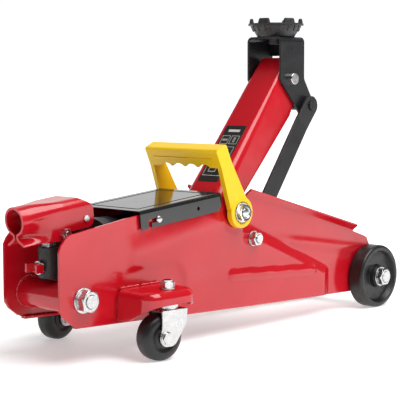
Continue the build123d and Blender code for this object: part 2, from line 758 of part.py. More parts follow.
with BuildPart() as arm_label:
    label_from = arm_length * 0.14
    label_to = arm_length * 0.56
    label_half = 14.2
    label = [
        (label_from, -label_half, 2), (label_to, -label_half, 2), (label_to, label_half, 2),
        (label_from, label_half, 2),
    ]
    extrude(outline(arm_plan.offset(web_offset), label), amount=0.3)
save(arm_label, "arm_label")

with BuildPart() as arm_pin:
    bar(tip_x, -bracket_half - 5.5, bracket_half + 5.5, tip_z, arm_pin_radius - running)
save(arm_pin, "arm_pin")

with BuildPart() as arm_pivot_shaft:
    bar(pivot_x, -eye_out - 1, eye_out + 1, pivot_height, pivot_shaft_radius)
save(arm_pivot_shaft, "arm_pivot_shaft")

with BuildPart() as shaft_cap_left:
    bar(pivot_x, eye_out + 0.5, eye_out + 2, pivot_height, 11)
    hexagon(pivot_x, eye_out + 2, eye_out + 7, pivot_height, 18)
    bar(pivot_x, eye_out, eye_out + 1, pivot_height, pivot_shaft_radius, Mode.SUBTRACT)
with BuildPart() as pivot_shaft_caps:
    both_sides(shaft_cap_left)
save(pivot_shaft_caps, "pivot_shaft_caps")

with BuildPart() as arm_bush_left:
    bar(pivot_x, arm_low_half + 0.5, inner_half - 0.3, pivot_height, 13)
    bar(pivot_x, 0, middle_half, pivot_height, pivot_shaft_radius, Mode.SUBTRACT)
with BuildPart() as arm_bushes:
    both_sides(arm_bush_left)
save(arm_bushes, "arm_bushes")

# ---------------------------------------------------------------- tie rods
# Flat bars parallel to the arm that keep the saddle level; each is set in at the top.
rod_origin = (pivot_x + rod_ahead, 0, pivot_height - rod_below)
rod_plan = Plane(origin=rod_origin, x_dir=arm_dir, z_dir=arm_up)
rod_side = Plane(origin=rod_origin, x_dir=arm_dir, z_dir=(0, -1, 0))
rod_top_x = tip_x + rod_ahead
rod_top_z = tip_z - rod_below
rod_end = rod_half_width
rod_round = rod_half_width - 0.1
rod_outline = [
    (-rod_end, -rod_half_width, rod_round), (arm_length + rod_end, -rod_half_width, rod_round),
    (arm_length + rod_end, rod_half_width, rod_round), (-rod_end, rod_half_width, rod_round),
]
with BuildPart() as left_tie_rod:
    with BuildSketch(rod_plan.offset(-20)):
        with BuildLine():
            FilletPolyline(
                (-rod_end - 1, rod_low_y), (22.8, rod_low_y), (arm_length - 24.5, rod_top_y),
                (arm_length + rod_end + 1, rod_top_y), radius=10,
            )
            offset(amount=rod_sheet / 2, side=Side.BOTH)
        make_face()
    extrude(amount=40)
    extrude(outline(rod_side.offset(-80), rod_outline), amount=160, mode=Mode.INTERSECT)
    bar(rod_origin[0], 0, 60, rod_origin[2], rod_bolt_radius + running, Mode.SUBTRACT)
    bar(rod_top_x, 0, 60, rod_top_z, rod_pin_radius + running, Mode.SUBTRACT)
save(left_tie_rod, "left_tie_rod")

with BuildPart() as right_tie_rod:
    mirror(left_tie_rod.part, about=Plane.XZ)
save(right_tie_rod, "right_tie_rod")

plate_at_rod = middle_half - plan_taper * (rod_ahead - lip_start) + 0.4
rod_bolt_head = rod_low_y - rod_sheet / 2 - 0.4
with BuildPart() as rod_bolt_left:
    bar(rod_origin[0], rod_bolt_head - 2.4, plate_at_rod + 9.4, rod_origin[2], rod_bolt_radius)
    bar(rod_origin[0], rod_bolt_head - 2.4, rod_bolt_head, rod_origin[2], 7.5)
with BuildPart() as tie_rod_bolts:
    both_sides(rod_bolt_left)
save(tie_rod_bolts, "tie_rod_bolts")

with BuildPart() as rod_nut_left:
    bar(rod_origin[0], plate_at_rod + 0.2, plate_at_rod + 1.6, rod_origin[2], 8)
    hexagon(rod_origin[0], plate_at_rod + 1.6, plate_at_rod + 8.2, rod_origin[2], 13)
    bar(rod_origin[0], plate_at_rod, plate_at_rod + 12, rod_origin[2], rod_bolt_radius, Mode.SUBTRACT)
with BuildPart() as tie_rod_nuts:
    both_sides(rod_nut_left)
save(tie_rod_nuts, "tie_rod_nuts")

# ---------------------------------------------------------------- saddle bracket and its pin
bracket_rear = tip_x - 17.6
bracket_top = tip_z + bracket_rise
saddle_x = bracket_rear + bracket_length / 2
bracket_plates = [
    (bracket_rear, bracket_top, 0), (bracket_rear, tip_z - 2, 4), (rod_top_x - 20, rod_top_z + 1, 10),
    (rod_top_x - 10, rod_top_z - 10.5, 9), (rod_top_x + 8, rod_top_z - 10.5, 9),
    (rod_top_x + 9, rod_top_z + 8, 9),
    (bracket_rear + bracket_length, tip_z, 6), (bracket_rear + bracket_length, bracket_top, 0),
]
with BuildPart() as saddle_bracket:
    with BuildSketch(Plane.YZ.offset(bracket_rear - 5)):
        with BuildLine():
            FilletPolyline(
                (-bracket_half, rod_top_z - 20), (-bracket_half, bracket_top), (bracket_half, bracket_top),
                (bracket_half, rod_top_z - 20), radius=6,
            )
            offset(amount=2.5, side=Side.RIGHT)
        make_face()
    extrude(amount=90)
    extrude(outline(side(40), bracket_plates), amount=80, mode=Mode.INTERSECT)
    apron_low = tip_z + 25.5
    apron_x = bracket_rear + bracket_length - sheet / 2
    with Locations((apron_x, 0, (apron_low + bracket_top - 1) / 2)):
        Box(sheet, 2 * bracket_half - 4, bracket_top - 1 - apron_low)
    bar(tip_x, -40, 40, tip_z, arm_pin_radius, Mode.SUBTRACT)
    bar(rod_top_x, -40, 40, rod_top_z, rod_pin_radius, Mode.SUBTRACT)
    with Locations((saddle_x, 0, bracket_top)):
        Cylinder(spigot_radius + running, 20, mode=Mode.SUBTRACT)
save(saddle_bracket, "saddle_bracket")

with BuildPart() as tie_rod_pin:
    pin_end = rod_top_y + rod_sheet / 2 + 2.0
    bar(rod_top_x, -pin_end, pin_end, rod_top_z, rod_pin_radius)
save(tie_rod_pin, "tie_rod_pin")

# ---------------------------------------------------------------- saddle
saddle_base = bracket_top + saddle_gap
rim_height = bracket_top + saddle_height
cup_depth = 6.0
lug_height = 5.2
with BuildPart() as saddle:
    with BuildSketch(Plane.XZ):
        with BuildLine():
            Polyline(
                (0, saddle_base - 8), (spigot_radius, saddle_base - 8), (spigot_radius, saddle_base),
                (saddle_radius - 9, saddle_base), (saddle_radius - 2, saddle_base + 5),
                (saddle_radius, saddle_base + 6.5), (saddle_radius, rim_height),
                (saddle_radius - 5, rim_height), (saddle_radius - 8, rim_height - cup_depth),
                (0, rim_height - cup_depth), close=True,
            )
        make_face()
    revolve(axis=Axis.Z)
    with BuildSketch(Plane.XY.offset(rim_height)) as lugs:
        with PolarLocations(saddle_radius - 3.6, 6, start_angle=12):
            RectangleRounded(6.4, 16, 2)
    extrude(lugs.sketch, amount=lug_height)
    with BuildSketch(Plane.XY.offset(rim_height - 3)) as pillar:
        with PolarLocations(saddle_radius - 3.6, 6, start_angle=12):
            Rectangle(4, 12)
    extrude(pillar.sketch, amount=4)
    with BuildSketch(Plane.XY.offset(saddle_base - 10)) as limit:
        Circle(saddle_radius)
    extrude(limit.sketch, amount=60, mode=Mode.INTERSECT)
with BuildPart() as saddle_placed:
    add(saddle.part.moved(Location((saddle_x, 0, 0))))
save(saddle_placed, "saddle")

# ---------------------------------------------------------------- carry handle
# One yellow moulding: an eye round each end of the pivot shaft, two legs and a grip with
# waves for the fingers on its underside.
lean = radians(handle_lean)
handle_side = Plane(origin=(pivot_x, 0, pivot_height), x_dir=(-sin(lean), 0, cos(lean)), z_dir=(0, -1, 0))
handle_front = Plane(origin=(pivot_x, 0, pivot_height), x_dir=(0, 1, 0), z_dir=-handle_side.y_dir)
grip_low = grip_reach - grip_height
with BuildPart() as carry_handle:
    leg = [
        (0, eye_radius, 5), (-eye_radius, eye_radius, 13), (-eye_radius, -eye_radius, 13),
        (0, -eye_radius, 5),
        (grip_low, -grip_depth / 2, 8), (grip_reach, -grip_depth / 2, 3), (grip_reach, grip_depth / 2, 3),
        (grip_low, grip_depth / 2, 8),
    ]
    extrude(outline(handle_side, leg), amount=eye_out, both=True)
    with BuildSketch(handle_side) as gap:
        with Locations((grip_low - 50, 0)):
            Rectangle(100, 60)
    extrude(gap.sketch, amount=eye_in, both=True, mode=Mode.SUBTRACT)
    wave = 2 * eye_in / 5
    with BuildSketch(handle_front) as waves:
        for k in range(4):
            with Locations(((k - 1.5) * wave, grip_low - 1.5)):
                Ellipse(wave / 2 - 0.8, 5)
    extrude(waves.sketch, amount=40, both=True, mode=Mode.SUBTRACT)
    bar(pivot_x, -60, 60, pivot_height, pivot_shaft_radius + running, Mode.SUBTRACT)
save(carry_handle, "carry_handle")
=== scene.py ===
import json
import math
from collections import Counter

import bpy
from mathutils import Matrix, Vector

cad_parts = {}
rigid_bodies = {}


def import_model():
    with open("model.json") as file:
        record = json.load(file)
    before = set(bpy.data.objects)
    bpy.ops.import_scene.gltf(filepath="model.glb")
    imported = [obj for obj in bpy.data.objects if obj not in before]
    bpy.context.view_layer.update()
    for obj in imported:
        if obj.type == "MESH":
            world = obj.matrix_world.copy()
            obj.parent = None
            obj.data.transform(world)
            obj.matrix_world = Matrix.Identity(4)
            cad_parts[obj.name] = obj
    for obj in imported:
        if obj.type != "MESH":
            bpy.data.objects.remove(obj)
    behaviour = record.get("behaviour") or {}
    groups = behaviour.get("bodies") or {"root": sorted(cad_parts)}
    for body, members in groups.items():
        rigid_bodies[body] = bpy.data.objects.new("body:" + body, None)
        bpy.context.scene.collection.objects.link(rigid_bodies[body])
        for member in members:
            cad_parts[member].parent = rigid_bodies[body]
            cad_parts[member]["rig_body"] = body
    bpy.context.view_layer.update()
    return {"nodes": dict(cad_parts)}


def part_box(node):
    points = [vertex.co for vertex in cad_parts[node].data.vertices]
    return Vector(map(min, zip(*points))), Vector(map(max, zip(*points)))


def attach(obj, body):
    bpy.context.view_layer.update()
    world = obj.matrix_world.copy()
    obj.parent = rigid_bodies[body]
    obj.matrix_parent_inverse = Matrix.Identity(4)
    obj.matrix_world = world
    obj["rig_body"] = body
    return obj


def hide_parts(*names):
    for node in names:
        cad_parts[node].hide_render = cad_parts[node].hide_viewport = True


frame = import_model()

# ---------------------------------------------------------------- side plates
# Each side of the frame is one pressed sheet of 2.5 mm steel: flat at the back, bulged in the
# middle, set in at the front, with a stiffening rib, a flared lip along the sloping top edge
# and a flange turned in at the bottom.  Both are sprayed with glossy red enamel.
MM = 0.001


def middle(node):
    """Centre of a CAD node's box."""
    low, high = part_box(node)
    return (low + high) / 2


pivot = middle("arm_pivot_shaft")
axle = middle("front_axle")
rear_bolt = middle("rear_bolt")


def only(piece):
    """Selects this object and nothing else, and makes it active."""
    bpy.ops.object.select_all(action="DESELECT")
    piece.select_set(True)
    bpy.context.view_layer.objects.active = piece


def begin(kind, name, **settings):
    """Adds a primitive with nothing else selected, and puts its place into its mesh."""
    bpy.ops.object.select_all(action="DESELECT")
    getattr(bpy.ops.mesh, f"primitive_{kind}_add")(**settings)
    piece = bpy.context.object
    piece.name = name
    piece.data.name = name
    bpy.ops.object.transform_apply(location=True, rotation=True, scale=True)
    return piece


def pick(piece, kind, test):
    """Opens a piece in edit mode with only the elements that pass the test selected: faces by
    centre and normal, edges by their two ends, RIM edges have one face only, corners by place."""
    only(piece)
    bpy.ops.object.mode_set(mode="EDIT")
    bpy.ops.mesh.select_mode(type="EDGE" if kind == "RIM" else kind)
    bpy.ops.mesh.select_all(action="DESELECT")
    bpy.ops.object.mode_set(mode="OBJECT")
    mesh = piece.data
    if kind == "FACE":
        for face in mesh.polygons:
            face.select = bool(test(face.center, face.normal))
    elif kind == "EDGE":
        for edge in mesh.edges:
            start, end = (mesh.vertices[k].co for k in edge.vertices)
            edge.select = bool(test(start, end))
    elif kind == "RIM":
        owners = Counter(key for face in mesh.polygons for key in face.edge_keys)
        for edge in mesh.edges:
            start, end = (mesh.vertices[k].co for k in edge.vertices)
            edge.select = owners[edge.key] == 1 and bool(test(start, end))
    else:
        for corner in mesh.vertices:
            corner.select = bool(test(corner.co))
    bpy.ops.object.mode_set(mode="EDIT")


def close():
    bpy.ops.object.mode_set(mode="OBJECT")


def everything(*place):
    return True


def modify(piece, kind, **settings):
    """Adds a modifier with these settings and applies it."""
    only(piece)
    made = piece.modifiers.new(kind, kind)
    for name, value in settings.items():
        setattr(made, name, value)
    bpy.ops.object.modifier_apply(modifier=made.name)


def soften(piece, radius, angle=30, segments=3):
    """Rounds the sharp edges of a finished shape and smooths its shading."""
    modify(
        piece, "BEVEL", width=radius, segments=segments, limit_method="ANGLE",
        angle_limit=math.radians(angle), use_clamp_overlap=True, miter_outer="MITER_ARC",
    )
    only(piece)
    bpy.ops.object.shade_smooth_by_angle(angle=math.radians(40))
    modify(piece, "WEIGHTED_NORMAL", keep_sharp=True)


def rounded(corners, step=10):
    """Points of a closed outline whose corners are arcs, from rows of x, y and radius."""
    points = []
    for before, row, after in zip(corners[-1:] + corners[:-1], corners, corners[1:] + corners[:1]):
        corner = Vector(row[:2])
        back = (Vector(before[:2]) - corner).normalized()
        ahead = (Vector(after[:2]) - corner).normalized()
        half = back.angle(ahead) / 2
        reach = row[2] / math.tan(half)
        if row[2] == 0:
            points.append(corner)
            continue
        centre = corner + (back + ahead).normalized() * row[2] / math.sin(half)
        start = corner + back * reach - centre
        end = corner + ahead * reach - centre
        turn = math.copysign(math.pi - 2 * half, start.x * end.y - start.y * end.x)
        steps = max(2, round(abs(math.degrees(turn)) / step))
        for k in range(steps + 1):
            points.append(centre + Matrix.Rotation(turn * k / steps, 2) @ start)
    return points


class Wire:
    """One socket of a material's nodes.  Arithmetic on wires adds Math nodes."""

    def __init__(self, tree, socket=None):
        self.tree = tree
        self.socket = socket

    def node(self, kind, settings, sockets, out=0):
        """Any other node: its type, its settings, then the values or wires of its sockets."""
        made = self.tree.nodes.new("ShaderNode" + kind)
        for name, value in settings.items():
            setattr(made, name, value)
        for name, value in sockets.items():
            if isinstance(value, Wire):
                self.tree.links.new(value.socket, made.inputs[name])
            else:
                made.inputs[name].default_value = value
        return Wire(self.tree, made.outputs[out])

    def math(self, operation, first, second):
        return self.node("Math", {"operation": operation}, {0: first, 1: second})

    def __add__(self, other):
        return self.math("ADD", self, other)

    __radd__ = __add__

    def __sub__(self, other):
        return self.math("SUBTRACT", self, other)

    def __rsub__(self, other):
        return self.math("SUBTRACT", other, self)

    def __mul__(self, other):
        return self.math("MULTIPLY", self, other)

    __rmul__ = __mul__

    def __lt__(self, other):
        return self.math("LESS_THAN", self, other)

    def __abs__(self):
        return self.math("ABSOLUTE", self, 0)

    def noise(self, scale, detail=2.0, rough=0.5):
        """Noise read at this place, in features per metre."""
        sockets = {"Vector": self, "Scale": scale, "Detail": detail, "Roughness": rough}
        return self.node("TexNoise", {}, sockets)

    def mix(self, first, second):
        """A colour between two, by this share."""
        return self.node("Mix", {"data_type": "RGBA"}, {0: self, 6: first, 7: second}, out=2)

    def span(self, low, high, to_low, to_high):
        """This value's range from low to high, carried to another range."""
        sockets = {"Value": self, "From Min": low, "From Max": high, "To Min": to_low, "To Max": to_high}
        return self.node("MapRange", {"interpolation_type": "SMOOTHSTEP"}, sockets)

    def bump(self, depth, normal=None):
        """Bump of this height, in metres of relief."""
        sockets = {"Height": self, "Distance": depth, "Strength": 1.0}
        if normal is not None:
            sockets["Normal"] = normal
        return self.node("Bump", {}, sockets)


def finish(name, fixed):
    """A new material with fixed shader values, and the wire of its object coordinates."""
    material = bpy.data.materials.new(name)
    material.use_nodes = True
    shader = material.node_tree.nodes["Principled BSDF"]
    for socket, value in fixed.items():
        shader.inputs[socket].default_value = value
    place = Wire(material.node_tree).node("TexCoord", {}, {}, out=3)
    return material, shader, place


def feed(shader, **wires):
    """Links wires to the shader's sockets."""
    for name, wire in wires.items():
        wire.tree.links.new(wire.socket, shader.inputs[name.replace("_", " ")])


red_enamel, shader, place = finish("red_enamel", {"IOR": 1.52, "Specular IOR Level": 0.6})
tone = place.noise(14, detail=3).span(0.3, 0.7, 0.0, 1.0)
peel = place.noise(1100, detail=1).bump(0.000012)
sag = place.noise(38, detail=1).bump(0.00022, normal=peel)
feed(
    shader,
    Base_Color=tone.mix((0.50, 0.004, 0.012, 1), (0.56, 0.006, 0.016, 1)),
    Roughness=place.noise(60, detail=4).span(0.3, 0.8, 0.13, 0.21),
    Normal=sag,
)


def paint(piece, material):
    """Gives a piece one material all over."""
    piece.data.materials.clear()
    piece.data.materials.append(material)


sheet = 2.5 * MM
wide_half = middle("tie_rod_bolts").y + 43.5 * MM
rear_half = wide_half - 2.5 * MM
plate_rows = [
    (-231, 52, 14), (-226, 46, 4), (-217, 39, 4), (-211, 36.4, 6), (225, 20, 12), (242.4, 36, 14),
    (242.4, 62, 12), (232.4, 80, 8), (205.4, 89, 6), (14, 142.2, 10), (-24, 143.2, 20),
    (-136, 132.6, 20), (-220.6, 120.6, 14), (-231, 110, 14),
]
lip_run = ((18, 141), (205.4, 89))
bottom_run = ((-211, 36.4), (225, 20))
rim_slack = 0.6
pivot_height = 126
bulge_sides = [((-152, 60), (1, 0)), ((56, 98.3), (-0.39, -0.92)), ((161, 50), (-1, 0))]


def smooth(value):
    """Eases from 0 to 1, level at both ends."""
    value = min(1, max(0, value))
    return value * value * (3 - 2 * value)


def plate_half(x, z):
    """Distance of the plate's outer face from the middle plane, at a place in mm from the pivot."""
    # A raised panel with a dished seat round the rear bolt.
    inside = min((x - px) * nx + (z - pz) * nz for (px, pz), (nx, nz) in bulge_sides)
    seat_x = abs(x + 119) - 28
    seat_z = z - 66
    seat = math.hypot(max(seat_x, 0), max(seat_z, 0)) + min(max(seat_x, seat_z), 0) - 13
    raised = smooth(min(inside / 13, seat / 7))
    outer = 43.5 - 2.5 * min(1, max(0, (x - 30) / 131))
    inner = 41 - 4 * min(1, max(0, x / 205))
    half = inner + (outer - inner) * raised
    # Its rear part leans in above and below a long crease.
    along = min(1, max(0, (x + 146) / 124))
    crease = z - (93 + 25 * along)
    half -= 1.5 * raised * smooth(crease / 26) * smooth((28 - x) / 30)
    half -= 1.1 * raised * smooth(-crease / 22) * smooth((55 + crease) / 33) * smooth((10 - x) / 60)
    # A soft fold ahead of the panel, the boss round the pivot and a long rib.
    fold = z - (74 - 0.16 * (x - 176))
    half += 0.9 * (1 - raised) * smooth((x - 60) / 50) * smooth(1 - abs(fold) / 9)
    boss = math.hypot(x, z - pivot_height)
    half += 1.0 * smooth((22 - boss) / 4)
    rib_x = min(128, max(-6, x))
    rib = math.hypot(x - rib_x, z - (61.5 - 0.0664 * (rib_x + 6)))
    half += 1.9 * smooth((5.6 - rib) / 2.4)
    return half


def turn_out(piece, way):
    """Makes the faces of an open sheet look along a direction."""
    pick(piece, "FACE", everything)
    bpy.ops.mesh.normals_make_consistent(inside=False)
    close()
    if sum(face.normal.dot(way) * face.area for face in piece.data.polygons) < 0:
        pick(piece, "FACE", everything)
        bpy.ops.mesh.flip_normals()
        close()


def pressed_plate():
    """The right-hand plate: a grid cut to the outline, pressed, then given its lip and flange."""
    low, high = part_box("right_side_plate")
    plate = begin("grid", "right_plate", x_subdivisions=210, y_subdivisions=56, size=1)
    for corner in plate.data.vertices:
        corner.co.x = low.x + (corner.co.x + 0.5) * (high.x - low.x)
        corner.co.z = (18 + (corner.co.y + 0.5) * 128) * MM
        corner.co.y = 0
    points = [Vector((pivot.x + x * MM, 0, z * MM)) for x, z in rounded(plate_rows)]
    for start, end in zip(points, points[1:] + points[:1]):
        if (end - start).length < 1e-5:
            continue
        run = end - start
        pick(plate, "FACE", everything)
        bpy.ops.mesh.bisect(plane_co=start, plane_no=(run.z, 0, -run.x), clear_outer=True, threshold=1e-6)
        close()
    pick(plate, "RIM", everything)
    bpy.ops.mesh.remove_doubles(threshold=0.35 * MM)
    close()
    for corner in plate.data.vertices:
        corner.co.y = -plate_half((corner.co.x - pivot.x) / MM, corner.co.z / MM) * MM

    def straight(run, first, last):
        """Test for rim edges on a straight side of the outline, between two distances."""
        (x0, z0), (x1, z1) = run
        slope = (z1 - z0) / (x1 - x0)
        return lambda *ends: all(
            abs(point.z / MM - z0 - slope * ((point.x - pivot.x) / MM - x0)) < rim_slack
            and first < (point.x - pivot.x) / MM < last
            for point in ends
        )

    lean = math.atan2(lip_run[0][1] - lip_run[1][1], lip_run[1][0] - lip_run[0][0])
    for test, upright, steps in (
        (
            straight(lip_run, 18, 206.4), Vector((math.sin(lean), 0, math.cos(lean))),
            ((12, 1.0), (30, 1.0), (48, 6.6)),
        ),
        (
            straight(bottom_run, -212, 222), Vector((0, 0, -1)),
            ((-20, 0.9), (-45, 0.9), (-70, 0.9), (-90, 5.0)),
        ),
    ):
        pick(plate, "RIM", test)
        for turn, length in steps:
            move = upright * math.cos(math.radians(turn)) + Vector((0, -1, 0)) * math.sin(math.radians(turn))
            bpy.ops.mesh.extrude_region_move(TRANSFORM_OT_translate={"value": move * length * MM})
        close()
    turn_out(plate, Vector((0, -1, 0)))
    modify(plate, "SOLIDIFY", thickness=sheet, offset=-1)
    soften(plate, 0.6 * MM, angle=60, segments=2)
    return plate


def mirrored(piece, name):
    """A copy on the other side of the jack, with its own mesh turned right side out."""
    twin = bpy.data.objects.new(name, piece.data.copy())
    bpy.context.scene.collection.objects.link(twin)
    twin.data.transform(Matrix.Diagonal((1, -1, 1, 1)))
    twin.data.flip_normals()
    return twin


right_plate = pressed_plate()
left_plate = mirrored(right_plate, "left_plate")
for plate, node in ((right_plate, "right_side_plate"), (left_plate, "left_side_plate")):
    paint(plate, red_enamel)
    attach(plate, "frame")
    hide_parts(node)

# ---------------------------------------------------------------- rear cross tube, bolt and nuts
# A steel tube welded between the plates and painted with them.  A long zinc-plated bolt runs
# through it, with a chamfered nut on each threaded end.
def shaped(node, name, radius, angle=30, segments=3):
    """A CAD shape taken over: its triangles are merged and its sharp edges rounded."""
    piece = bpy.data.objects.new(name, frame["nodes"][node].data.copy())
    bpy.context.scene.collection.objects.link(piece)
    only(piece)
    bpy.ops.mesh.customdata_custom_splitnormals_clear()
    pick(piece, "VERT", everything)
    bpy.ops.mesh.remove_doubles(threshold=2e-6)
    bpy.ops.mesh.dissolve_limited(angle_limit=math.radians(0.3))
    close()
    if radius:
        soften(piece, radius, angle=angle, segments=segments)
    return piece


def fit(piece, material, slot, body, *nodes):
    """Paints a piece, puts it on its body and lets it stand for its CAD nodes."""
    paint(piece, material)
    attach(piece, body)
    if nodes:
        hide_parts(*nodes)
    return piece


def turned(name, rows, steps=72):
    """A piece turned about Z at the origin, from rows of radius and height along its profile."""
    piece = begin("circle", name, vertices=len(rows), fill_type="NOTHING")
    for corner, (radius, height) in zip(piece.data.vertices, rows):
        corner.co = (radius, 0, height)
    pick(piece, "EDGE", everything)
    bpy.ops.mesh.spin(steps=steps, angle=math.tau, center=(0, 0, 0), axis=(0, 0, 1))
    bpy.ops.mesh.select_all(action="SELECT")
    bpy.ops.mesh.remove_doubles(threshold=1e-6)
    bpy.ops.mesh.dissolve_degenerate(threshold=1e-6)
    bpy.ops.mesh.delete_loose()
    bpy.ops.mesh.select_all(action="SELECT")
    bpy.ops.mesh.normals_make_consistent(inside=False)
    close()
    return piece


def carve(piece, tool, operation="DIFFERENCE"):
    """Cuts a piece with another one, or keeps what they share."""
    modify(piece, "BOOLEAN", object=tool, operation=operation, solver="EXACT")
    bpy.data.objects.remove(tool)


def hex_nut(name, across, height, hole):
    """Hexagon nut standing on the origin, its corners chamfered at both faces."""
    nut = begin(
        "cylinder", name, vertices=6, radius=across / math.sqrt(3), depth=height,
        location=(0, 0, height / 2),
    )
    flat = across * 0.475
    tip = across / math.sqrt(3) + 0.0005
    drop = (tip - flat) * 0.55
    rows = [(0, 0), (flat, 0), (tip, drop), (tip, height - drop), (flat, height), (0, height)]
    carve(nut, turned("barrel", rows), "INTERSECT")
    sink = 0.0007
    rows = [
        (0, -sink), (hole + 2 * sink, -sink), (hole, sink), (hole, height - sink),
        (hole + 2 * sink, height + sink), (0, height + sink),
    ]
    carve(nut, turned("drill", rows, steps=36))
    soften(nut, 0.00025, angle=20, segments=2)
    return nut


def threaded(name, radius, length, pitch=0.00125):
    """End of a screw standing on the origin, with its thread cut as ridges."""
    rows = [(0, 0), (radius, 0)]
    ridges = int((length - 2 * pitch) / pitch)
    for k in range(ridges):
        rows += [(radius - 0.0005, (k + 0.5) * pitch), (radius, (k + 1) * pitch)]
    rows += [(radius - 0.0009, length - 0.0004), (radius - 0.0015, length), (0, length)]
    piece = turned(name, rows, steps=48)
    bpy.ops.object.shade_smooth_by_angle(angle=math.radians(30))
    return piece


def facing(place, direction):
    """Carries a piece from the origin, its Z along the direction, to a place."""
    return Matrix.Translation(place) @ Vector(direction).to_track_quat("Z", "X").to_matrix().to_4x4()


def copied(piece, name, matrix):
    """A copy with its own mesh, at its place."""
    twin = bpy.data.objects.new(name, piece.data.copy())
    bpy.context.scene.collection.objects.link(twin)
    twin.data.transform(matrix)
    return twin


def joined(name, pieces):
    """Several meshes as one piece."""
    bpy.ops.object.select_all(action="DESELECT")
    for piece in pieces:
        piece.select_set(True)
    bpy.context.view_layer.objects.active = pieces[0]
    bpy.ops.object.join()
    pieces[0].name = name
    pieces[0].data.name = name
    return pieces[0]


def weld(name, points, size, seed):
    """A hand-laid weld bead along points: a row of overlapping ripples."""
    bead = []
    for k, point in enumerate(points):
        swell = size * (1 + 0.16 * math.sin(seed + 2.3 * k) + 0.1 * math.sin(5.1 * k + seed))
        ripple = begin("uv_sphere", "ripple", segments=12, ring_count=8, radius=swell, location=point)
        bpy.ops.object.shade_smooth()
        bead.append(ripple)
    return joined(name, bead)


def washer(name, hole, flat, rim, thick, bead=0.3, radius=0.25):
    """A flat washer standing on the origin, sizes in mm."""
    rows = [(hole, 0), (flat, 0), (rim, bead), (flat, thick), (hole, thick)]
    piece = turned(name, [(r * MM, z * MM) for r, z in rows])
    soften(piece, radius * MM)
    return piece


def hardware(name, node, seat, stack, upright=False, turn=0):
    """A stack of fasteners on each side of the jack, as one plated piece for its CAD node.  The
    stack lists each fastener and how far from the seat it starts; it points outward or up."""
    pieces = []
    for way in (1, -1):
        out = Vector((0, 0, 1)) if upright else Vector((0, way, 0))
        foot = Vector((seat[0], way * seat[1], seat[2]))
        spin = Matrix.Rotation(turn * way, 4, "Z")
        for source, start in stack:
            pieces.append(copied(source, "nut", facing(foot + out * start, out) @ spin))
    for source, start in stack:
        bpy.data.objects.remove(source)
    fit(joined(name, pieces), zinc_plate, "zinc_steel", "frame", node)


zinc_plate, shader, place = finish("zinc_plate", {"Metallic": 1.0})
feed(
    shader,
    Base_Color=place.noise(160, detail=3).mix((0.52, 0.53, 0.55, 1), (0.72, 0.72, 0.70, 1)),
    Roughness=place.noise(420, detail=3).span(0.3, 0.7, 0.18, 0.34),
    Normal=place.noise(900, detail=3).bump(0.000003),
)

tube = shaped("rear_cross_tube", "cross_tube", 0.6 * MM)
fit(tube, red_enamel, "red_paint", "frame", "rear_cross_tube")
tube_low, tube_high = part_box("rear_cross_tube")
tube_radius = (tube_high.z - tube_low.z) / 2
for side, y in (("right", tube_low.y), ("left", tube_high.y)):
    ring = [
        Vector((
            rear_bolt.x + (tube_radius + 0.4 * MM) * math.cos(turn),
            y - math.copysign(0.6 * MM, y),
            rear_bolt.z + (tube_radius + 0.4 * MM) * math.sin(turn),
        ))
        for turn in (k * math.tau / 46 for k in range(46))
    ]
    fit(weld(f"{side}_tube_weld", ring, 1.5 * MM, seed=len(side)), red_enamel, "red_paint", "frame")

rear_nut = hex_nut("rear_nut", 19 * MM, 9.6 * MM, 6 * MM)
rear_thread = threaded("rear_thread", 6 * MM, 10.5 * MM, pitch=1.5 * MM)
rear_washer = washer("rear_washer", 6.2, 11.6, 11.9, 1.3)
hardware(
    "rear_nuts_and_ends", "rear_nuts", (rear_bolt.x, rear_half, rear_bolt.z),
    ((rear_washer, 0.1 * MM), (rear_nut, 1.4 * MM), (rear_thread, 1.4 * MM)), turn=math.radians(17),
)
paint(frame["nodes"]["rear_bolt"], zinc_plate)

# ---------------------------------------------------------------- front axle and its nuts
# A plain steel axle, zinc plated, through both plates and a spacer tube between them.  A washer
# and a chamfered nut on each threaded end keep the wheels on.
axle_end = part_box("front_axle")[1].y
washer_in = axle_end - 8.6 * MM
front_nut = hex_nut("front_nut", 17.5 * MM, 6.6 * MM, 6 * MM)
front_thread = threaded("front_thread", 6 * MM, 7.2 * MM, pitch=1.5 * MM)
front_washer = washer("front_washer", 6.1, 10.8, 11, 1.4)
hardware(
    "front_axle_ends", "front_axle_nuts", (axle.x, washer_in, axle.z),
    ((front_washer, 0), (front_nut, 1.4 * MM), (front_thread, 1.5 * MM)),
)
for node in ("front_axle", "front_spacer_tube"):
    paint(frame["nodes"][node], zinc_plate)

# ---------------------------------------------------------------- front wheels
# Solid wheels moulded in black nylon, with a raised hub, a deep dish and a thick rounded rim.
# They turn on the plain axle, without bearings.
black_nylon, shader, place = finish("black_nylon", {"IOR": 1.5})
feed(
    shader,
    Base_Color=place.noise(70).mix((0.005, 0.005, 0.005, 1), (0.013, 0.013, 0.013, 1)),
    Roughness=place.noise(300, detail=3).span(0.3, 0.7, 0.28, 0.46),
    Normal=place.noise(1300, detail=3).bump(0.00002),
)


def wheel(name, radius, width, bore, hub, dish, tread):
    """A wheel turned about Z, the same on both faces, the edges of its tread rounded."""
    half = width / 2
    rim = radius - tread - 3.2 * MM
    face = [
        (bore, half), (hub, half), (hub + 1.2 * MM, half - dish), (rim - 2.2 * MM, half - dish),
        (rim, half - 0.5 * MM), (rim + 1 * MM, half),
    ] + [
        (radius - tread * (1 - math.sin(k * math.pi / 12)), half - tread * (1 - math.cos(k * math.pi / 12)))
        for k in range(7)
    ]
    rows = face + [(r, -h) for r, h in reversed(face)]
    piece = turned(name, rows, steps=96)
    soften(piece, 0.8 * MM, angle=18, segments=3)
    return piece


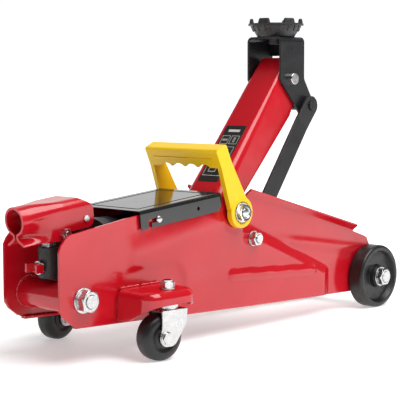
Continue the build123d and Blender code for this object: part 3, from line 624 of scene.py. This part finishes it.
wheel_low, wheel_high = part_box("right_front_wheel")
front_wheel = wheel(
    "front_wheel", (wheel_high.z - wheel_low.z) / 2, wheel_high.y - wheel_low.y,
    6.1 * MM, 12 * MM, 5.5 * MM, 3 * MM,
)
for side in ("left", "right"):
    node = f"{side}_front_wheel"
    place_at = facing(middle(node), (0, 1, 0))
    fit(copied(front_wheel, f"{side}_nylon_wheel", place_at), black_nylon, "black_wheel", node, node)
bpy.data.objects.remove(front_wheel)

# ---------------------------------------------------------------- caster brackets
# A shelf of 2.5 mm steel, pressed with a rolled skirt that is deepest at the back.  One is welded
# to each side plate by a short bead and painted with it.
bracket_low, bracket_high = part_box("right_caster_bracket")
bracket_rows = [
    (bracket_low.x, bracket_high.y, 0), (bracket_low.x, bracket_low.y, 15 * MM),
    (bracket_high.x, bracket_low.y, 13 * MM), (bracket_high.x, bracket_high.y, 0),
]
points = rounded(bracket_rows, step=7)
bracket = begin("circle", "right_bracket", vertices=len(points), fill_type="NGON")
for corner, point in zip(bracket.data.vertices, points):
    corner.co = (point.x, point.y, bracket_high.z)
pick(bracket, "FACE", everything)
bpy.ops.mesh.extrude_region_move(TRANSFORM_OT_translate={"value": (0, 0, bracket_low.z - bracket_high.z)})
bpy.ops.mesh.select_all(action="SELECT")
bpy.ops.mesh.normals_make_consistent(inside=False)
close()
pick(
    bracket, "EDGE",
    lambda a, b: min(a.z, b.z) > bracket_high.z - MM and min(a.y, b.y) < bracket_high.y - MM,
)
bpy.ops.mesh.bevel(offset=7.5 * MM, segments=8, profile=0.5)
close()
pick(
    bracket, "FACE",
    lambda c, n: n.z < -0.9 or (n.y > 0.9 and c.y > bracket_high.y - MM),
)
bpy.ops.mesh.delete(type="FACE")
close()
skirt_end = bracket_high.z - 17.2 * MM
skirt_out = bracket_low.y + 8 * MM
pick(bracket, "FACE", everything)
bpy.ops.mesh.bisect(
    plane_co=(0, skirt_out, skirt_end), plane_no=(0, -0.5, -1), clear_outer=True, threshold=1e-6
)
close()
pick(bracket, "FACE", lambda c, n: c.x > bracket_low.x + 24 * MM)
bpy.ops.mesh.bisect(plane_co=(0, 0, skirt_end), plane_no=(0, 0, -1), clear_outer=True, threshold=1e-6)
close()
modify(bracket, "SOLIDIFY", thickness=2.5 * MM, offset=-1, use_even_offset=True)
soften(bracket, 0.6 * MM, angle=50, segments=2)
left_bracket = mirrored(bracket, "left_bracket")
for side, piece in (("right", bracket), ("left", left_bracket)):
    fit(piece, red_enamel, "red_paint", "frame", f"{side}_caster_bracket")
    run = [
        Vector((
            bracket_low.x + (5 + 1.6 * k + (3 if k > 13 else 0)) * MM,
            math.copysign(bracket_high.y, piece.data.vertices[0].co.y),
            bracket_high.z + 0.3 * MM,
        ))
        for k in range(30)
    ]
    fit(weld(f"{side}_bracket_weld", run, 1.6 * MM, seed=3), red_enamel, "red_paint", "frame")

# ---------------------------------------------------------------- casters
# Each caster hangs from a stud under its bracket: a bright plated fork of 2 mm steel, pressed
# and pierced, a riveted axle and a solid black tyre.
stem_nut = hex_nut("stem_nut", 13 * MM, 5.6 * MM, 5 * MM)
stem_thread = threaded("stem_thread", 5 * MM, 8.4 * MM)
stem_washer = washer("stem_washer", 5.1, 6.9, 7, 1.4)
stem_x = middle("caster_stems").x
stem_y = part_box("caster_stems")[1].y - 5 * MM
hardware(
    "stem_nuts", "caster_stem_nuts", (stem_x, stem_y, bracket_high.z),
    ((stem_washer, 0), (stem_nut, 1.4 * MM), (stem_thread, 0.1 * MM)), upright=True,
)
paint(frame["nodes"]["caster_stems"], zinc_plate)

wheel_low, wheel_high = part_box("right_caster_wheel")
caster_radius = (wheel_high.z - wheel_low.z) / 2
caster_wheel = wheel("caster_wheel", caster_radius, 18.6 * MM, 4.1 * MM, 8 * MM, 1.2 * MM, 6.5 * MM)
rivet = turned("rivet", [
    (0, 0), (6.2 * MM, 0), (6.2 * MM, 1.0 * MM), (5.0 * MM, 1.3 * MM), (4.6 * MM, 2.9 * MM),
    (3.4 * MM, 3.3 * MM), (2.6 * MM, 2.4 * MM), (0, 2.2 * MM),
])
soften(rivet, 0.3 * MM, angle=25, segments=2)
toe_turn = math.radians(8)
fork_half = 12 * MM
for side, way in (("left", 1), ("right", -1)):
    toe = Vector((-math.sin(toe_turn * way), math.cos(toe_turn * way), 0))
    centre = middle(f"{side}_caster_wheel")
    node = f"{side}_caster_wheel"
    tyre = copied(caster_wheel, f"{side}_caster_tyre", facing(centre, toe))
    fit(tyre, black_nylon, "black_wheel", node, node)
    node = f"{side}_caster_fork"
    fit(shaped(node, f"{side}_fork", 0.5 * MM), zinc_plate, "zinc_steel", node, node)
    ends = [
        copied(rivet, "end", facing(centre + toe * (out * fork_half), toe * out)) for out in (1, -1)
    ]
    axle_node = f"{side}_caster_axle"
    fit(joined(f"{side}_axle_rivets", ends), zinc_plate, "zinc_steel", node)
    paint(frame["nodes"][axle_node], zinc_plate)
for source in (caster_wheel, rivet):
    bpy.data.objects.remove(source)

# ---------------------------------------------------------------- top cover
# Thin sheet bent down over both plates, with an embossed border, in high-gloss black enamel.
# A round-headed screw holds each flange.
black_gloss, shader, place = finish("black_gloss", {"IOR": 1.55})
feed(
    shader,
    Base_Color=place.noise(18).mix((0.008, 0.008, 0.009, 1), (0.014, 0.013, 0.014, 1)),
    Roughness=place.noise(90, detail=3).span(0.3, 0.7, 0.06, 0.12),
    Normal=place.noise(45, detail=1).bump(0.0001),
)
cover = shaped("top_cover", "cover", 0)
top_of_cover = max(cover.data.polygons, key=lambda face: face.area * (face.normal.z > 0.9))
top_centre = top_of_cover.center.copy()
pick(cover, "FACE", lambda c, n: n.z > 0.9 and (c - top_centre).length < 5 * MM)
for thickness, depth in ((7, 0), (0.9, -0.5), (1.4, 0), (0.9, 0.5)):
    bpy.ops.mesh.inset(thickness=thickness * MM, depth=depth * MM)
close()
soften(cover, 0.35 * MM, angle=20, segments=2)
fit(cover, black_gloss, "black_paint", "frame", "top_cover")
screw_low, screw_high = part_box("cover_screws")
screw_at = (screw_low + screw_high) / 2
screw_head = turned("screw_head", [
    (0, 0), (3.5 * MM, 0), (3.6 * MM, 0.5 * MM), (3.0 * MM, 1.5 * MM), (1.6 * MM, 2.0 * MM), (0, 2.1 * MM),
])
soften(screw_head, 0.25 * MM, angle=20)
ends = []
for way in (1, -1):
    seat = Vector((screw_at.x, way * (screw_high.y - 2.1 * MM), screw_at.z))
    ends.append(copied(screw_head, "screw", facing(seat, (0, way, 0))))
bpy.data.objects.remove(screw_head)
fit(joined("cover_screw_heads", ends), zinc_plate, "black_steel", "frame", "cover_screws")

# ---------------------------------------------------------------- hydraulic unit
# Cast iron pump block and crosshead, black enamelled reservoir tube, plated cylinder and end nut,
# and a hard-chromed ram and plunger.
cast_iron, shader, place = finish("cast_iron", {})
feed(
    shader,
    Base_Color=place.noise(90, detail=4).mix((0.010, 0.010, 0.011, 1), (0.028, 0.026, 0.026, 1)),
    Roughness=place.noise(200, detail=4).span(0.3, 0.7, 0.35, 0.6),
    Normal=place.noise(700, detail=5, rough=0.6).bump(0.00012),
)
black_coat, shader, place = finish("black_coat", {"IOR": 1.5})
feed(
    shader,
    Base_Color=place.noise(20).mix((0.008, 0.008, 0.009, 1), (0.014, 0.014, 0.016, 1)),
    Roughness=place.noise(80, detail=4).span(0.3, 0.7, 0.26, 0.4),
    Normal=place.noise(1500, detail=2).bump(0.000014),
)
chrome, shader, place = finish("hard_chrome", {"Metallic": 1.0})
feed(
    shader,
    Base_Color=place.noise(60).mix((0.80, 0.81, 0.82, 1), (0.88, 0.88, 0.88, 1)),
    Roughness=place.noise(700, detail=2).span(0.3, 0.7, 0.05, 0.12),
    Normal=place.noise(1200, detail=2).bump(0.000004),
)
rubber, shader, place = finish("black_rubber", {"IOR": 1.45})
feed(
    shader,
    Base_Color=place.noise(90).mix((0.010, 0.010, 0.010, 1), (0.022, 0.022, 0.022, 1)),
    Roughness=place.noise(300, detail=3).span(0.3, 0.7, 0.5, 0.7),
    Normal=place.noise(1500, detail=2).bump(0.00003),
)
for node, name, radius, material, slot in (
    ("power_unit_block", "pump_block", 0.9, cast_iron, "black_cast_iron"),
    ("reservoir_tube", "reservoir", 0.5, black_coat, "black_paint"),
    ("cylinder_end_nut", "end_nut", 0.6, zinc_plate, "zinc_steel"),
    ("ram_crosshead", "crosshead", 0.8, cast_iron, "black_cast_iron"),
    ("ram", "ram_rod", 0.6, chrome, "chromed_steel"),
    ("pump_plunger", "plunger", 0.4, chrome, "chromed_steel"),
    ("release_yoke", "yoke", 0.8, red_enamel, "red_paint"),
    ("release_valve", "valve", 0.4, zinc_plate, "zinc_steel"),
):
    body_name = frame["nodes"][node]["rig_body"]
    fit(shaped(node, name, radius * MM), material, slot, body_name, node)
for node, material in (
    ("lift_cylinder", zinc_plate), ("oil_filler_plug", rubber), ("plunger_spring", zinc_plate),
    ("arm_pivot_shaft", zinc_plate), ("arm_bushes", red_enamel), ("tie_rod_bolts", zinc_plate),
    ("lever_pin", zinc_plate), ("pump_roller", zinc_plate), ("socket_pivot_pin", zinc_plate),
):
    paint(frame["nodes"][node], material)

# ---------------------------------------------------------------- handle socket
# Sheet wrapped into a round sleeve, pinched below and spread into two cheeks, painted red.  The
# cheeks hang on a plated pin, and a plated bolt carries the roller between them.

def slab(name, rows, low, high):
    """A prism between two heights, from a rounded outline in mm."""
    points = rounded(rows)
    piece = begin("circle", name, vertices=len(points), fill_type="NGON")
    for corner, point in zip(piece.data.vertices, points):
        corner.co = (point.x * MM, point.y * MM, low * MM)
    pick(piece, "FACE", everything)
    bpy.ops.mesh.extrude_region_move(TRANSFORM_OT_translate={"value": (0, 0, (high - low) * MM)})
    bpy.ops.mesh.select_all(action="SELECT")
    bpy.ops.mesh.normals_make_consistent(inside=False)
    close()
    return piece


socket_lean = math.radians(6)
socket_along = Vector((math.cos(socket_lean), 0, math.sin(socket_lean)))
socket_above = Vector((-math.sin(socket_lean), 0, math.cos(socket_lean)))
mouth_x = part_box("handle_socket")[0].x + 13.5 * MM * math.sin(socket_lean)
socket_mouth = Vector((mouth_x, middle("handle_socket").y, 0))
socket_mouth.z = middle("socket_pivot_pin").z + 0.4 * MM


sleeve_radius = 13.4
cheek_low = -22.6


def socket_corner(reach, share):
    """Outer face of the sleeve: how far along it, and where round its section from -1 to 1."""
    spread = smooth((reach - 8) / 34)
    half = sleeve_radius + 8 * spread
    corner = sleeve_radius - 5 * spread
    top = sleeve_radius - 0.9 * spread
    flat = half - corner
    bend = corner * math.pi / 2
    wall = top - corner - cheek_low
    run = abs(share) * (flat + bend + wall)
    if run < flat:
        out, rise = run, top
    elif run < flat + bend:
        turn = (run - flat) / corner
        out, rise = flat + corner * math.sin(turn), top - corner + corner * math.cos(turn)
    else:
        out, rise = half, top - corner - (run - flat - bend)
    if rise < 0:
        pinch = 1 - smooth((reach - 4) / 24)
        flare = 9 * smooth((-15 - rise) / 7.5)
        throat = math.sqrt(max(sleeve_radius ** 2 - rise ** 2, 3.4 ** 2)) + flare
        out = out * (1 - pinch) + throat * pinch
    return Vector((reach * MM, math.copysign(out, share) * MM, rise * MM))


socket_reach = (middle("socket_pivot_pin") - socket_mouth).dot(socket_along) / MM
socket = begin("grid", "socket_sheet", x_subdivisions=90, y_subdivisions=120, size=1)
for corner in socket.data.vertices:
    corner.co = socket_corner((corner.co.x + 0.5) * (socket_reach + 9.6), 2 * corner.co.y)
turn_out(socket, Vector((0, 0, 1)))
modify(socket, "SOLIDIFY", thickness=2.3 * MM, offset=-1)
ear = socket_reach  # the cheeks end round their pivot
socket_rows = [
    (-5, 20, 0), (-5, -23, 0), (ear - 30, -23, 8), (ear - 20, -16, 8),
    (ear + 9.4, -16, 8), (ear + 9.4, 4, 8), (ear - 5, 12.9, 4), (ear - 8, 20, 0),
]
cheek_cut = slab("socket_outline", [(x, z, r) for x, z, r in reversed(socket_rows)], -60, 60)
cheek_cut.data.transform(Matrix.Rotation(math.radians(90), 4, "X"))
carve(socket, cheek_cut, "INTERSECT")
soften(socket, 0.7 * MM, angle=50, segments=3)
socket_axes = Matrix((socket_along, Vector((0, 1, 0)), socket_above)).transposed().to_4x4()
socket.data.transform(Matrix.Translation(socket_mouth) @ socket_axes)
fit(socket, red_enamel, "red_paint", "handle_socket", "handle_socket")
fit(shaped("roller_bolt", "socket_bolt", 0.3 * MM), zinc_plate, "zinc_steel", "handle_socket", "roller_bolt")

# ---------------------------------------------------------------- lifting arm
# A tapered channel folded from 2.5 mm sheet, with a generous bend along each edge of its web, in
# red enamel.  Its lower end is cut to a lever round the pin that the ram pushes.
arm_lean = math.radians(50.7)
along = Vector((math.cos(arm_lean), 0, math.sin(arm_lean)))
above = Vector((-math.sin(arm_lean), 0, math.cos(arm_lean)))
arm_place = Matrix.Translation(pivot) @ Matrix((along, Vector((0, -1, 0)), above)).transposed().to_4x4()
arm_end = 192
web_rise = 15.5
side_run = 75
arm_rows = [
    (-12, 18.5, 8), (arm_end, 18.5, 4), (arm_end, -4, 6), (173, -21, 10), (155, -24, 8),
    (145, -26, 8), (30, -15.5, 30), (12, -17, 4),
]
lever = Matrix(((along.x, along.z), (above.x, above.z))) @ Vector((
    middle("lever_pin").x - pivot.x, middle("lever_pin").z - pivot.z
)) / MM
arm_rows += [
    (lever.x + 11, lever.y + 2, 8), (lever.x + 5, lever.y - 12, 9), (lever.x - 9, lever.y - 10, 9),
    (lever.x - 12, lever.y + 6, 6), (-18, 0, 10),
]
arm = begin("grid", "arm_channel", x_subdivisions=100, y_subdivisions=110, size=1)
for corner in arm.data.vertices:
    reach = -60 + (corner.co.x + 0.5) * (arm_end + 62)
    share = max(0, (reach + 12) / 167)
    half = 26 - 5.5 * share
    bend = 11 - 7 * min(1, share)
    wall = side_run - bend
    web = 2 * (half - bend)
    run = (corner.co.y + 0.5) * (2 * wall + web + math.pi * bend) - wall - math.pi * bend / 2 - web / 2
    side = math.copysign(1, run)
    run = abs(run)
    if run < web / 2:
        out, rise = run, web_rise
    elif run < web / 2 + math.pi * bend / 2:
        turn = (run - web / 2) / bend
        out, rise = web / 2 + bend * math.sin(turn), web_rise - bend + bend * math.cos(turn)
    else:
        down = run - web / 2 - math.pi * bend / 2
        out, rise = half, web_rise - bend - down
    corner.co = Vector((reach * MM, side * out * MM, rise * MM))
turn_out(arm, Vector((0, 0, 1)))
modify(arm, "SOLIDIFY", thickness=sheet, offset=-1, use_even_offset=True)
walls = slab("arm_outline", arm_rows, -60, 60)
walls.data.transform(Matrix.Rotation(math.radians(90), 4, "X"))
carve(arm, walls, "INTERSECT")
soften(arm, 0.6 * MM, angle=50, segments=2)
arm.data.transform(arm_place)
if arm_place.determinant() < 0:
    arm.data.flip_normals()
fit(arm, red_enamel, "red_paint", "lift_arm", "lift_arm")

# ---------------------------------------------------------------- arm label
# Dark printed film stuck flat on the arm's web, with plain frames and bars and no words.
film, shader, place = finish("label_film", {"IOR": 1.45})
parts = place.node("SeparateXYZ", {}, {"Vector": place})
x_place = Wire(parts.tree, parts.socket)
z_place = Wire(parts.tree, parts.socket.node.outputs[2])
y_place = Wire(parts.tree, parts.socket.node.outputs[1])
reach = (x_place - pivot.x) * along.x + (z_place - pivot.z) * along.z


def frame_line(centre, half_long, half_wide, line):
    """Share of ink in a thin rectangle round a place on the label, in mm."""
    far = abs(reach - centre[0] * MM)
    wide = abs(y_place - centre[1] * MM)
    outer = (far < half_long * MM) * (wide < half_wide * MM)
    inner = (far < (half_long - line) * MM) * (wide < (half_wide - line) * MM)
    return outer - inner


ink = frame_line((91, 0), 1.6, 8, 1.6)
frames = (((79, -6.5), 5.5, 5.5), ((79, 6.5), 5.5, 5.5), ((64, 0), 6, 12), ((43, 0), 11, 12))
figures = (((79, -6.5), 3, 1.2), ((79, 6.5), 1, 3.4), ((64, -3), 2.4, 3), ((43, 2), 6, 5))
for shapes, line in ((frames, 0.5), (figures, 0.7)):
    for centre, half_long, half_wide in shapes:
        ink = ink + frame_line(centre, half_long, half_wide, line)
feed(
    shader,
    Base_Color=ink.mix((0.016, 0.015, 0.016, 1), (0.62, 0.60, 0.58, 1)),
    Roughness=place.noise(200).span(0.3, 0.7, 0.28, 0.4),
    Normal=place.noise(900).bump(0.00001),
)
fit(shaped("arm_label", "arm_film", 0.08 * MM, segments=1), film, "label_film", "lift_arm", "arm_label")

# ---------------------------------------------------------------- pivot caps and tie rod nuts
# Zinc-plated fasteners outside the plates: a domed nut on a washer at each end of the arm's
# pivot shaft, and a lock nut on each tie rod bolt.
cap_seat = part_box("pivot_shaft_caps")[1].y - 6.5 * MM
pivot_nut = hex_nut("pivot_nut", 16 * MM, 4.6 * MM, 5 * MM)
pivot_dome = turned("pivot_dome", [
    (0, 0), (5.2 * MM, 0), (5.2 * MM, 4.2 * MM), (4.4 * MM, 5.4 * MM), (2.6 * MM, 6.0 * MM), (0, 6.2 * MM),
])
soften(pivot_dome, 0.3 * MM, angle=20)
pivot_washer = washer("pivot_washer", 5, 10, 10.4, 1.5, bead=0.4, radius=0.3)
rod_nut = hex_nut("rod_nut", 13 * MM, 6.4 * MM, 4 * MM)
rod_thread = threaded("rod_thread", 4 * MM, 7.4 * MM)
rod_washer = washer("rod_washer", 4.1, 7.8, 8, 1.3)
rod_bolt = middle("tie_rod_nuts")
rod_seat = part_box("tie_rod_nuts")[1].y - 8 * MM
hardware(
    "pivot_caps", "pivot_shaft_caps", (pivot.x, cap_seat, pivot.z),
    ((pivot_washer, 0), (pivot_nut, 1.5 * MM), (pivot_dome, 0.3 * MM)),
)
hardware(
    "tie_rod_lock_nuts", "tie_rod_nuts", (rod_bolt.x, rod_seat, rod_bolt.z),
    ((rod_washer, 0), (rod_nut, 1.3 * MM), (rod_thread, 0.6 * MM)),
)

# ---------------------------------------------------------------- tie rods, bracket and saddle
# Flat black bars and a bent black bracket carry the cast saddle, which turns on its spigot.  Two
# pins join them, a plated one through the arm's end and a black one below it.
for node, name, radius, material, slot in (
    ("left_tie_rod", "left_rod", 0.7, black_coat, "black_paint"),
    ("right_tie_rod", "right_rod", 0.7, black_coat, "black_paint"),
    ("saddle_bracket", "bracket_channel", 0.8, black_coat, "black_paint"),
    ("arm_pin", "top_pin", 0.8, zinc_plate, "zinc_steel"),
    ("tie_rod_pin", "rod_pin", 0.6, black_coat, "black_steel"),
):
    body_name = frame["nodes"][node]["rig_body"]
    fit(shaped(node, name, radius * MM), material, slot, body_name, node)

saddle_low, saddle_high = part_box("saddle")
saddle_at = middle("saddle")
rim = (saddle_high.x - saddle_low.x) / 2
rim_top = saddle_high.z - saddle_low.z - 5.2 * MM
dish = turned("saddle_dish", [
    (0, 0), (7.6 * MM, 0), (8 * MM, 0.5 * MM), (8 * MM, 8 * MM), (rim - 10 * MM, 8 * MM),
    (rim - 4 * MM, rim_top - 5 * MM), (rim - 3.6 * MM, rim_top - 2.6 * MM), (rim, rim_top - 2.2 * MM),
    (rim, rim_top), (rim - 2.6 * MM, rim_top), (rim - 5 * MM, rim_top - 4 * MM), (0, rim_top - 4.6 * MM),
], steps=96)
soften(dish, 0.5 * MM, angle=20, segments=2)
pieces = [dish]
for k in range(6):
    lug = begin("cube", "lug", size=1)
    lug.data.transform(Matrix.Diagonal((5.6 * MM, 14 * MM, 7.2 * MM, 1)))
    pick(lug, "FACE", lambda c, n: n.z > 0.9)
    bpy.ops.transform.resize(value=(0.62, 0.8, 1))
    close()
    soften(lug, 1.1 * MM, segments=3)
    turn = Matrix.Rotation(math.radians(12 + 60 * k), 4, "Z")
    lug.data.transform(turn @ Matrix.Translation((rim - 3.6 * MM, 0, rim_top + 1.6 * MM)))
    pieces.append(lug)
for k in range(18):
    rib = begin("cube", "rib", size=1)
    rib.data.transform(Matrix.Diagonal((7 * MM, 1.8 * MM, 6.4 * MM, 1)))
    pick(rib, "FACE", lambda c, n: n.z < -0.9)
    bpy.ops.transform.resize(value=(0.3, 1, 1))
    close()
    soften(rib, 0.4 * MM, segments=2)
    turn = Matrix.Rotation(math.radians(12 + 20 * k), 4, "Z")
    rib.data.transform(turn @ Matrix.Translation((rim - 6 * MM, 0, rim_top - 5.4 * MM)))
    pieces.append(rib)
saddle = joined("cast_saddle", pieces)
saddle.data.transform(Matrix.Translation((saddle_at.x, saddle_at.y, saddle_low.z)))
fit(saddle, cast_iron, "dark_cast_iron", "saddle", "saddle")

# ---------------------------------------------------------------- carry handle
# One yellow moulding: an eye round each end of the pivot shaft, two legs and a grip with
# finger waves below, a bevelled top and a parting groove along its back.
yellow_plastic, shader, place = finish("yellow_plastic", {"IOR": 1.5})
feed(
    shader,
    Base_Color=place.noise(30).mix((0.93, 0.56, 0.002, 1), (0.97, 0.62, 0.004, 1)),
    Roughness=place.noise(500, detail=3).span(0.3, 0.7, 0.32, 0.46),
    Normal=place.noise(1600, detail=3).bump(0.00002),
)
grip_lean = math.radians(24.4)
reach_way = Vector((-math.sin(grip_lean), 0, math.cos(grip_lean)))
back_way = Vector((-math.cos(grip_lean), 0, -math.sin(grip_lean)))
handle = shaped("carry_handle", "handle", 0)
groove = begin("cube", "groove", size=1)
eye_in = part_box("carry_handle")[1].y - 5.6 * MM  # inner face of an eye
groove.data.transform(Matrix.Diagonal((2.4 * MM, 2 * (eye_in - 4 * MM), 1.8 * MM, 1)))
soften(groove, 0.5 * MM)
groove_axes = Matrix((back_way, Vector((0, -1, 0)), reach_way)).transposed().to_4x4()
groove.data.transform(Matrix.Translation(pivot + reach_way * 65 * MM + back_way * 8 * MM) @ groove_axes)
carve(handle, groove)
soften(handle, 1.4 * MM, angle=35, segments=4)
eye = turned("eye_ring", [
    (9.4 * MM, 0), (16 * MM, 0), (16 * MM, 6.6 * MM), (11.4 * MM, 7.2 * MM), (10.9 * MM, 5.2 * MM),
    (9.4 * MM, 5 * MM),
], steps=96)
soften(eye, 0.9 * MM, angle=20, segments=4)
eyes = [
    copied(eye, "eye", facing(Vector((pivot.x, way * eye_in, pivot.z)), (0, way, 0)))
    for way in (1, -1)
]
bpy.data.objects.remove(eye)
handle = joined("carry_grip", [handle] + eyes)
fit(handle, yellow_plastic, "yellow_plastic", "carry_handle", "carry_handle")

# ---------------------------------------------------------------- studio
# A white floor that glows more with distance, and a dim room with a bright far wall, which the
# camera sees as plain white.  One large soft light hangs above, and the camera stands behind the
# jack's right side.
floor = begin("plane", "studio_floor", size=30)
floor_finish, shader, place = finish("white_floor", {
    "Roughness": 0.6, "Specular IOR Level": 0.2, "Emission Strength": 1.0,
})
floor_apart = place.node("VectorMath", {"operation": "LENGTH"}, {0: place}, out=1)
feed(
    shader,
    Base_Color=place.noise(3).mix((0.88, 0.88, 0.88, 1), (0.9, 0.9, 0.9, 1)),
    Emission_Color=floor_apart.span(0.3, 1.0, 0, 1).mix((0.42, 0.42, 0.42, 1), (0.97, 0.97, 0.97, 1)),
)
paint(floor, floor_finish)

world = bpy.data.worlds.new("white_room")
bpy.context.scene.world = world
world.use_nodes = True
glow = world.node_tree.nodes["Background"]
glow.inputs["Color"].default_value = (1, 1, 1, 1)
sky = Wire(world.node_tree)
way = sky.node("SeparateXYZ", {}, {"Vector": sky.node("TexCoord", {}, {})})
x_way = Wire(sky.tree, way.socket)
y_way = Wire(sky.tree, way.socket.node.outputs[1])
back_wall = (x_way * 0.72 + y_way * 0.69).span(0.45, 0.9, 0, 0.9)
camera_ray = sky.node("LightPath", {}, {})
room = (0.14 + back_wall) * (1 - camera_ray) + camera_ray * 1.04
world.node_tree.links.new(room.socket, glow.inputs["Strength"])


def soft_light(name, place, target, size, power):
    """A square soft light that faces its target."""
    lamp = bpy.data.lights.new(name, "AREA")
    lamp.shape = "RECTANGLE"
    lamp.size, lamp.size_y = size
    lamp.energy = power
    stand = bpy.data.objects.new(name, lamp)
    bpy.context.scene.collection.objects.link(stand)
    stand.location = place
    stand.rotation_euler = (Vector(target) - Vector(place)).to_track_quat("-Z", "Y").to_euler()
    return stand


soft_light("top_light", (0.1, -0.8, 1.55), (0.05, -0.3, 0), (1.5, 1.5), 38)

HEADING = math.radians(43.772)
PITCH = math.radians(-5.172)
ROLL = math.radians(-0.127)
ahead = Vector((math.cos(HEADING) * math.cos(PITCH), math.sin(HEADING) * math.cos(PITCH), math.sin(PITCH)))
right = Vector((math.sin(HEADING), -math.cos(HEADING), 0))
up = right.cross(ahead)
across = right * math.cos(ROLL) + up * math.sin(ROLL)
upright = up * math.cos(ROLL) - right * math.sin(ROLL)
lens = bpy.data.cameras.new("camera")
lens.lens = 112.38
lens.sensor_width = 36
lens.clip_end = 60
camera = bpy.data.objects.new("camera", lens)
bpy.context.scene.collection.objects.link(camera)
turned_to = Matrix((across, upright, -ahead)).transposed()
camera.matrix_world = Matrix.Translation((-0.94697, -0.89208, 0.25280)) @ turned_to.to_4x4()
bpy.context.scene.camera = camera
bpy.context.scene.view_settings.view_transform = "Standard"
